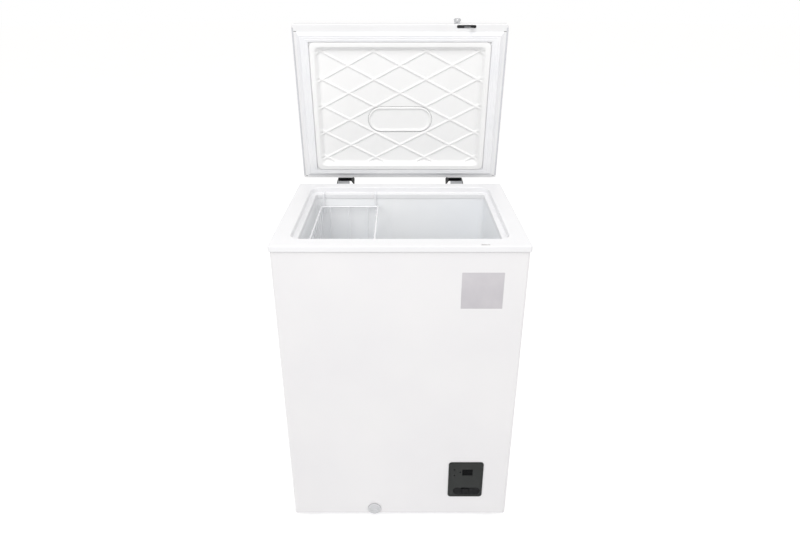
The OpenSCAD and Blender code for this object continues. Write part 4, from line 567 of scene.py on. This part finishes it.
# rim moulding: one closed section run round the opening
rim = {"x": 285.7, "y0": -3.2, "y1": 430.2, "r": 6, "z0": 792, "top": 806, "under": 803, "wall": 3.1,
       "edge": 3.0, "foot": 0.35, "openX": 245, "openY0": 38.8, "openY1": 394, "openR": 24, "mouthR": 2.6,
       "ledge": 12.5, "ledgeZ": 791, "ledgeFillet": 1.6, "ledgeR": 1.8, "apronZ": 778, "apron": 2.0,
       "apronEdge": 0.5, "keeper": (175.0, 1.9, 195.0, 7.3), "keeperR": 2.65,
       # the painted shadow line's section: mm in from the wall's inner face, height from the rim's foot
       "joint": [(0.4, -1.7), (-0.25, -1.5), (-0.3, -0.4), (-0.1, -0.05), (0.4, -0.05)]}


def rimOutline(s, i, z):
    x0, y0, x1, y1 = -s["x"] + i, s["y0"] + i, s["x"] - i, s["y1"] - i
    return [(x, y, z) for x, y in outline(x0, y0, x1, y1, s["r"] - i, 10)]


def makeRim(s):
    def outer(i, z):
        return rimOutline(s, i, z)
    def mouth(i, z):
        x0, y0, x1, y1 = -s["openX"] + i, s["openY0"] + i, s["openX"] - i, s["openY1"] - i
        return [(x, y, z) for x, y in outline(x0, y0, x1, y1, s["openR"] - i, 10)]
    quarter = [math.radians(90 * i / 5) for i in range(6)]
    e, m, f, k = s["edge"], s["mouthR"], s["ledgeFillet"], s["ledgeR"]
    foot, ledge, apron, under = s["foot"], s["ledge"], s["apron"], s["under"]
    rings = [outer(foot, s["z0"]), outer(0, s["z0"] + foot)]
    rings += [outer(e * (1 - math.cos(a)), s["top"] - e + e * math.sin(a)) for a in quarter]
    rings += [mouth(-m + m * math.sin(a), s["top"] - m + m * math.cos(a)) for a in quarter]
    rings += [mouth(f * (1 - math.cos(a)), s["ledgeZ"] + f - f * math.sin(a)) for a in quarter]
    rings += [mouth(ledge - k + k * math.sin(a), s["ledgeZ"] - k + k * math.cos(a)) for a in quarter]
    rings += [mouth(ledge, s["apronZ"] + s["apronEdge"]), mouth(ledge - s["apronEdge"], s["apronZ"])]
    rings += [mouth(ledge - apron, s["apronZ"]), mouth(ledge - apron, s["ledgeZ"] - apron)]
    rings += [mouth(-apron, s["ledgeZ"] - apron), mouth(-apron, under)]
    rings += [outer(s["wall"], under), outer(s["wall"], s["z0"])]
    piece = addObject("rimMoulding", tidy(loft(rings, closed=True)))
    x0, y0, x1, y1 = s["keeper"]
    carve(piece, [block(x0, y0, s["under"] - 2, x1, y1, s["top"] + 2, s["keeperR"])])
    tidy(piece.data, 38)
    dress(piece, bodyOf["rim_frame"], "rim_plastic", "rim_frame")


def makeRimShadowLine(s):  # grey strip in the joint under the rim: painted shadow of the rim's overhang
    rings = [rimOutline(s, s["wall"] + inward, s["z0"] + up) for inward, up in s["joint"]]
    piece = addObject("rimShadowLineStrip", tidy(loft(rings, closed=True)))
    piece.data.materials.append(finishes["painted_shadow_grey"])
    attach(piece, bodyOf["rim_frame"])


makeRim(rim)
makeRimShadowLine(rim)
print("rim moulding made")


# tub: coated sheet with rounded bends and a step over the machinery
tub = {"x": 234.6, "y0": 49.2, "y1": 383.6, "r": 13.5, "floorZ": 60, "topZ": 788.9, "stepX": 48.7,
       "stepZ": 280, "stepPast": 20, "bend": 7, "stepBend": 1.2, "sheet": 0.8, "drainHole": 8.9,
       "drainCut": (-4, 4),
       # the lapped ends on the back wall: place in x, then mm across and out from the wall's face
       "seamX": -20, "seam": [(-5, -0.02), (-0.3, -0.6), (0, -0.45), (0.1, 0.3), (-5, 0.3)],
       "seamFoot": 8, "seamTop": 0.5}


def makeTub(s):
    ring = outline(-s["x"], s["y0"], s["x"], s["y1"], s["r"], 8)
    rings = [[(x, y, z) for x, y in ring] for z in (s["floorZ"], s["topZ"])]
    piece = addObject("tubPressing", tidy(loft(rings, caps=True)))
    past = s["stepPast"]
    carve(piece, [block(s["stepX"], s["y0"] - past, s["floorZ"] - past, s["x"] + past, s["y1"] + past,
                        s["stepZ"])])
    form = bmesh.new()
    form.from_mesh(piece.data)
    share = form.edges.layers.float.new("bevel_weight_edge")
    for edge in form.edges:  # full bends everywhere but on the step's own edge, which is folded tight
        ends = [(v.co.x / mm - s["stepX"], v.co.z / mm - s["stepZ"]) for v in edge.verts]
        onStep = all(abs(dx) < 0.5 and abs(dz) < 0.5 for dx, dz in ends)
        if edge.calc_face_angle(0) > math.radians(50):
            edge[share] = s["stepBend"] / s["bend"] if onStep else 1.0
    form.to_mesh(piece.data)
    form.free()
    bend = piece.modifiers.new("bend", "BEVEL")
    bend.width, bend.segments, bend.limit_method = s["bend"] * mm, 4, "WEIGHT"
    settle(piece)
    form = bmesh.new()
    form.from_mesh(piece.data)
    whole = form.verts[:] + form.edges[:] + form.faces[:]
    level = (0, 0, (s["topZ"] - s["bend"] - 1) * mm)  # the bent top is cut off and the walls drawn up again
    cut = bmesh.ops.bisect_plane(form, geom=whole, dist=1e-6, plane_co=level, plane_no=(0, 0, 1),
                                 clear_outer=True)
    edges = [e for e in cut["geom_cut"] if isinstance(e, bmesh.types.BMEdge)]
    up = bmesh.ops.extrude_edge_only(form, edges=edges)
    for v in up["geom"]:
        if isinstance(v, bmesh.types.BMVert):
            v.co.z = s["topZ"] * mm
    form.to_mesh(piece.data)
    form.free()
    tidy(piece.data)
    wall = piece.modifiers.new("wall", "SOLIDIFY")
    wall.thickness, wall.offset = s["sheet"] * mm, 1
    settle(piece)
    low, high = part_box("drain_plug")
    mid = (low + high) / 2 / mm
    turns, r = [math.tau * i / 40 for i in range(40)], s["drainHole"]
    circle = [(mid.x + r * math.cos(a), mid.y - frontY + r * math.sin(a)) for a in turns]
    carve(piece, [loft([[(x, y, s["floorZ"] + dz) for x, y in circle] for dz in s["drainCut"]], caps=True)])
    tidy(piece.data, 38, turnOut=False)
    dress(piece, bodyOf["tub_liner"], "tub_coat", "tub_liner")


def makeTubSeam(s):  # the sheet's ends lap on the back wall, where the outer end stands proud
    section = [(s["seamX"] + across, s["y1"] + out) for across, out in s["seam"]]
    rings = [[(x, y, z) for x, y in section] for z in (s["floorZ"] + s["seamFoot"], s["topZ"] - s["seamTop"])]
    piece = addObject("tubLapSeam", tidy(loft(rings, caps=True), 30))
    piece.data.materials.append(finishes["tub_coat"])
    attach(piece, bodyOf["tub_liner"])


makeTub(tub)
makeTubSeam(tub)
print("tub made")


# basket: welded wires, every one swept along its own bent path
basket = {"x0": -218.5, "x1": -61.5, "y0": 60.7, "y1": 372.1, "z": 757, "high": 185, "lean": 7, "rail": 2.4,
          "wire": 1.5, "cross": 8, "long": 3, "longShift": 2, "corner": 4.5, "bend": 9, "weld": 0.5,
          "midShare": 0.6, "lowRing": 7, "wireTop": 1, "ledgeZ": 791, "ledgeGap": 0.2, "lipY": (41.3, 391.5),
          "hangerIn": 7, "hangerLow": 22, "hangerBend": 0.6}


def wireTree():
    tree, given = newTree("sweptWire", {"Wire radius": "Float", "Bend radius": "Float", "Bend steps": "Int",
                                        "Sides": "Int", "Finish": "Material"})
    curve = addNode(tree, "GeometryNodeMeshToCurve", {0: given["Geometry"]}).outputs[0]
    curve = addNode(tree, "GeometryNodeFilletCurve", {0: curve, "Count": given["Bend steps"],
                    "Radius": given["Bend radius"], "Limit Radius": True}, mode="POLY").outputs[0]
    section = addNode(tree, "GeometryNodeCurvePrimitiveCircle", {"Radius": given["Wire radius"],
                      "Resolution": given["Sides"]}).outputs[0]
    wire = addNode(tree, "GeometryNodeCurveToMesh", {"Curve": curve, "Profile Curve": section,
                   "Fill Caps": True}).outputs[0]
    wire = addNode(tree, "GeometryNodeRealizeInstances", {0: wire}).outputs[0]
    wire = addNode(tree, "GeometryNodeSetMaterial", {0: wire, "Material": given["Finish"]}).outputs[0]
    addNode(tree, "NodeGroupOutput", {0: wire})
    return tree


sweptWire = wireTree()


def sweep(paths, radius, bend, slotName, sides=10, steps=5):  # each path: points in mm and whether it closes
    points, edges = [], []
    for path, closes in paths:
        first = len(points)
        points += [Vector((x, y + frontY, z)) * mm for x, y, z in path]
        edges += [(first + i, first + i + 1) for i in range(len(path) - 1)]
        if closes:
            edges.append((len(points) - 1, first))
    mesh = bpy.data.meshes.new("paths")
    mesh.from_pydata(points, edges, [])
    return runTree(sweptWire, mesh, {"Wire radius": radius * mm, "Bend radius": bend * mm,
                                     "Bend steps": steps, "Sides": sides, "Finish": finishes[slotName]})


def makeBasket(s):
    rail, wire, weld, lean = s["rail"], s["wire"], s["weld"], s["lean"]
    brim, low, mid = s["z"] + s["wireTop"], s["z"] - s["high"], s["z"] - s["midShare"] * s["high"]
    off = rail + wire - weld
    def ring(z, inset):
        i = lean * (s["z"] - z) / s["high"] + inset
        x0, x1, y0, y1 = s["x0"] + i, s["x1"] - i, s["y0"] + i, s["y1"] - i
        return ([(x0, y0, z), (x1, y0, z), (x1, y1, z), (x0, y1, z)], True)
    inner = off - 2 * wire + weld
    cross, lengthwise, hangers = [], [], []
    x0, x1 = s["x0"] + off, s["x1"] - off
    for k in range(1, s["cross"] + 1):
        y = s["y0"] + k * (s["y1"] - s["y0"]) / (s["cross"] + 1)
        cross.append(([(x0, y, brim), (x0 + lean, y, low), (x1 - lean, y, low), (x1, y, brim)], False))
    under = low - 2 * wire + weld
    y0, y1 = s["y0"] + off, s["y1"] - off
    for k in range(1, s["long"] + 1):
        x = s["x0"] + (k - 0.5) * (s["x1"] - s["x0"]) / s["long"] - s["longShift"]
        path = [(x, y0, brim), (x, y0 + lean, under), (x, y1 - lean, under), (x, y1, brim)]
        lengthwise.append((path, False))
    top = s["ledgeZ"] + rail + s["ledgeGap"]
    reach = 2 * rail - weld
    for x in (s["x0"] + s["hangerIn"], s["x1"] - s["hangerIn"]):
        for y, lip in ((s["y0"] - reach, s["lipY"][0]), (s["y1"] + reach, s["lipY"][1])):
            hangers.append(([(x, y, s["z"] - s["hangerLow"]), (x, y, top), (x, lip, top)], False))
    parts = [sweep([ring(s["z"], 0)], rail, s["corner"], "basket_wire", 12),
             sweep([ring(mid, inner), ring(low + s["lowRing"], inner)], wire, s["corner"], "basket_wire"),
             sweep(cross + lengthwise, wire, s["bend"], "basket_wire"),
             sweep(hangers, rail, rail + s["hangerBend"], "basket_wire", 12)]
    mesh = tidy(joinMeshes("basketWires", parts), 50)
    dress(addObject("basketWires", mesh), "basket", "basket_wire", "basket")


makeBasket(basket)
print("basket made")


def makeOvalShadowLine(s):  # grey line in the groove round the oval pad of the lid's inner panel: painted shade of the groove
    r, straight = s["ovalR"] + s["groovePlace"], s["ovalHalf"] - s["ovalR"]
    z = s["seatZ"] + s["deep"] - s["beadHigh"] + s["groove"] - s["shadowLineSink"]
    path = []
    for side, start in ((1, -90), (-1, 90)):  # half a turn round each end
        for i in range(19):
            a = math.radians(start + 10 * i)
            path.append((side * straight + r * math.cos(a), s["ovalY"] + r * math.sin(a), z))
    wire = sweep([(path, True)], s["shadowLineWire"], 0.1, "painted_shadow_grey", 6, 1)
    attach(addObject("ovalShadowLine", tidy(wire, 60, lidTurn)), "lid")


makeOvalShadowLine(liner)
print("oval joint line made")


# hinge springs: closed coils with one leg down the bracket and one up the arm
spring = {"x": 163, "y": 462.4, "z": 760.4, "wire": 1.4, "coil": 6.2, "turns": 7, "pitch": 2.72,
          "stepDeg": 15, "armLeg": 34, "legOut": 8, "backY": 430.8, "backZ": -20.2}


def makeSprings(s):
    paths = []
    end = s["pitch"] * s["turns"] / 2
    total = s["turns"] * 360 + 90  # a quarter more, as the second leg leaves at the bottom
    for side in (-1, 1):
        cx = side * s["x"]
        path = [(cx - end, s["y"] - s["coil"], s["z"] + s["armLeg"])]
        for i in range(0, int(total / s["stepDeg"]) + 1):
            turned = s["stepDeg"] * i
            a = math.radians(turned)
            path.append((cx - end + 2 * end * turned / total,
                         s["y"] - s["coil"] * math.cos(a), s["z"] - s["coil"] * math.sin(a)))
        path.append((cx + end, s["y"] - s["legOut"], s["z"] - s["coil"]))
        path.append((cx + end, s["backY"], s["z"] + s["backZ"]))
        paths.append((path, False))
    mesh = tidy(sweep(paths, s["wire"], 0.2, "spring_steel", 8, 1), 50)
    dress(addObject("hingeSprings", mesh), bodyOf["hinge_springs"], "spring_steel", "hinge_springs")


makeSprings(spring)
print("hinge springs made")


# parts whose drawn form is right get their edges broken and curved faces smoothed, by this much bevel in mm
softened = {"outer_shell": 0, "back_panel": 0, "base_pan": 0, "compressor": 0.6, "starter_box": 0.5,
            "compressor_tray": 0, "feet": 0.4, "rear_cover": 0.15, "cord_gland": 0.4, "control_bezel": 0.35,
            "display_window": 0.3, "minus_button": 0.6, "set_button": 0.6, "plus_button": 0.6, "drain_cap": 0,
            "drain_plug": 0.4, "hinge_bracket_left": 0.35, "hinge_bracket_right": 0.35,
            "hinge_arm_left": 0.35, "hinge_arm_right": 0.35, "lock_housing": 0.25, "lock_barrel": 0.25,
            "key": 0.25, "lock_hook": 0.2, "hinge_pins": 0.4, "hinge_bushings": 0.3, "bracket_screws": 0.15,
            "arm_screws": 0.15, "rear_cover_screws": 0.12, "foot_screws": 0.2, "indicator_lamps": 0.4}
edgeWork = {"weldMm": 0.005, "flatDeg": 1, "bevelDeg": 40, "smoothDeg": 32}


def soften(node, bevelMm):
    piece = addObject("soft_" + node, cadNodes[node].data.copy())
    form = bmesh.new()
    form.from_mesh(piece.data)
    bmesh.ops.remove_doubles(form, verts=form.verts, dist=edgeWork["weldMm"] * mm)
    if bevelMm:
        flat = math.radians(edgeWork["flatDeg"])
        bmesh.ops.dissolve_limit(form, angle_limit=flat, verts=form.verts, edges=form.edges)
    form.to_mesh(piece.data)
    form.free()
    if bevelMm:
        edge = piece.modifiers.new("edge", "BEVEL")
        edge.width, edge.segments = bevelMm * mm, 2
        edge.limit_method, edge.angle_limit = "ANGLE", math.radians(edgeWork["bevelDeg"])
        edge.use_clamp_overlap = True
        settle(piece)
    piece.data.shade_smooth()
    piece.data.set_sharp_from_angle(angle=math.radians(edgeWork["smoothDeg"]))
    dress(piece, bodyOf[node], slotOf[node], node)


for nodeName, bevelMm in softened.items():
    soften(nodeName, bevelMm)
print("edges broken on", len(softened), "parts")


# bare label plate on the front
label = {"x0": 136.5, "x1": 230.5, "z0": 650, "z1": 741, "r": 1.5, "thick": 0.14, "sunk": 0.02, "edgeIn": 0.1,
         "edgeHigh": 0.05}


def makeLabel(s):
    i = s["edgeIn"]
    outer = outline(s["x0"], s["z0"], s["x1"], s["z1"], s["r"], 5)
    inner = outline(s["x0"] + i, s["z0"] + i, s["x1"] - i, s["z1"] - i, s["r"], 5)
    steps = ((outer, s["sunk"]), (outer, -s["thick"] + s["edgeHigh"]), (inner, -s["thick"]))
    rings = [[(x, y, z) for x, z in ring] for ring, y in steps]
    piece = addObject("labelPlate", tidy(loft(rings, caps=True)))
    piece.data.materials.append(finishes["label_film"])
    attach(piece, "cabinet")


makeLabel(label)
print("label plate made")


# studio: a pale floor and sky, four softboxes, and one camera in front of the open mouth
studio = {"floorMm": 30000, "floor": "#e9e9ea", "mottle": "#eeeeef", "mottleScale": 3.0, "floorLift": 0.46,
          "sky": "#fffefc", "skyStrength": 0.65, "keyW": 39, "fillW": 8, "topW": 4, "mouthW": 8.5}


def seenRays(tree):  # 1 where the camera, a reflection or glass looks, 0 where light falls on something
    rays = addNode(tree, "ShaderNodeLightPath").outputs
    seen = addNode(tree, "ShaderNodeMath", {0: rays["Is Camera Ray"], 1: rays["Is Glossy Ray"]},
                   operation="MAXIMUM").outputs[0]
    return addNode(tree, "ShaderNodeMath", {0: seen, 1: rays["Is Transmission Ray"]},
                   operation="MAXIMUM").outputs[0]


def makeFloor():
    bpy.ops.mesh.primitive_circle_add(vertices=96, radius=studio["floorMm"] * mm, fill_type="NGON")
    floor = bpy.context.object
    floor.name = "studioFloor"
    material = bpy.data.materials.new("paleStudioFloor")
    material.use_nodes = True
    tree = material.node_tree
    tree.nodes.clear()
    place = addNode(tree, "ShaderNodeTexCoord").outputs["Object"]
    mottle = addNode(tree, "ShaderNodeTexNoise", {"Vector": place, "Scale": studio["mottleScale"]})
    tint = addNode(tree, "ShaderNodeMix", {0: mottle.outputs[0], 6: linearColour(studio["floor"]),
                   7: linearColour(studio["mottle"])}, data_type="RGBA")
    matte = addNode(tree, "ShaderNodeBsdfDiffuse", {0: tint.outputs[2]})
    lift = addNode(tree, "ShaderNodeMath", {0: seenRays(tree), 1: studio["floorLift"]}, operation="MULTIPLY")
    glow = addNode(tree, "ShaderNodeEmission", {"Color": (1, 1, 1, 1), "Strength": lift.outputs[0]})
    both = addNode(tree, "ShaderNodeAddShader", {0: matte.outputs[0], 1: glow.outputs[0]})
    addNode(tree, "ShaderNodeOutputMaterial", {0: both.outputs[0]})
    floor.data.materials.append(material)


def makeSky():
    world = bpy.context.scene.world or bpy.data.worlds.new("studioSky")
    bpy.context.scene.world = world
    world.use_nodes = True
    tree = world.node_tree
    tree.nodes.clear()
    seen = seenRays(tree)
    level = addNode(tree, "ShaderNodeMapRange", {0: seen, 3: studio["skyStrength"], 4: 1.0})
    tint = addNode(tree, "ShaderNodeMix", {0: seen, 6: linearColour(studio["sky"]), 7: (1, 1, 1, 1)},
                   data_type="RGBA")
    back = addNode(tree, "ShaderNodeBackground", {0: tint.outputs[2], 1: level.outputs[0]})
    addNode(tree, "ShaderNodeOutputWorld", {0: back.outputs[0]})


def addSoftbox(name, at, aim, size, power):
    light = bpy.data.lights.new(name, "AREA")
    light.shape = "RECTANGLE"
    light.size, light.size_y = size
    light.energy = power
    box = bpy.data.objects.new(name, light)
    bpy.context.scene.collection.objects.link(box)
    box.location = at
    box.rotation_euler = (Vector(aim) - Vector(at)).to_track_quat("-Z", "Y").to_euler()


makeFloor()
makeSky()
addSoftbox("keyLight", (-1.6, -2.9, 2.6), (0, 0, 0.8), (2.2, 1.8), studio["keyW"])
addSoftbox("fillLight", (2.4, -1.6, 1.6), (0, 0, 0.6), (1.6, 2.0), studio["fillW"])
addSoftbox("mouthLight", (0.1, -0.9, 2.3), (0, 0.15, 0.45), (0.8, 0.8), studio["mouthW"])
addSoftbox("topLight", (0.2, 0.2, 3.4), (0, 0, 0.8), (2.0, 2.0), studio["topW"])

shot = {"place": (0, -1.37565, 1.3041), "tiltDeg": 66.71, "sensorMm": 36, "lensMm": 25.405, "shiftY": -0.04,
        "farM": 60}
camera = bpy.data.objects.new("productCamera", bpy.data.cameras.new("productCamera"))
bpy.context.scene.collection.objects.link(camera)
camera.location = shot["place"]
camera.rotation_euler = (math.radians(shot["tiltDeg"]), 0, 0)
camera.data.sensor_width = shot["sensorMm"]
camera.data.lens = shot["lensMm"]
camera.data.shift_y = shot["shiftY"]
camera.data.clip_end = shot["farM"]
bpy.context.scene.camera = camera
bpy.context.scene.view_settings.view_transform = "Standard"
print("stage and camera set")
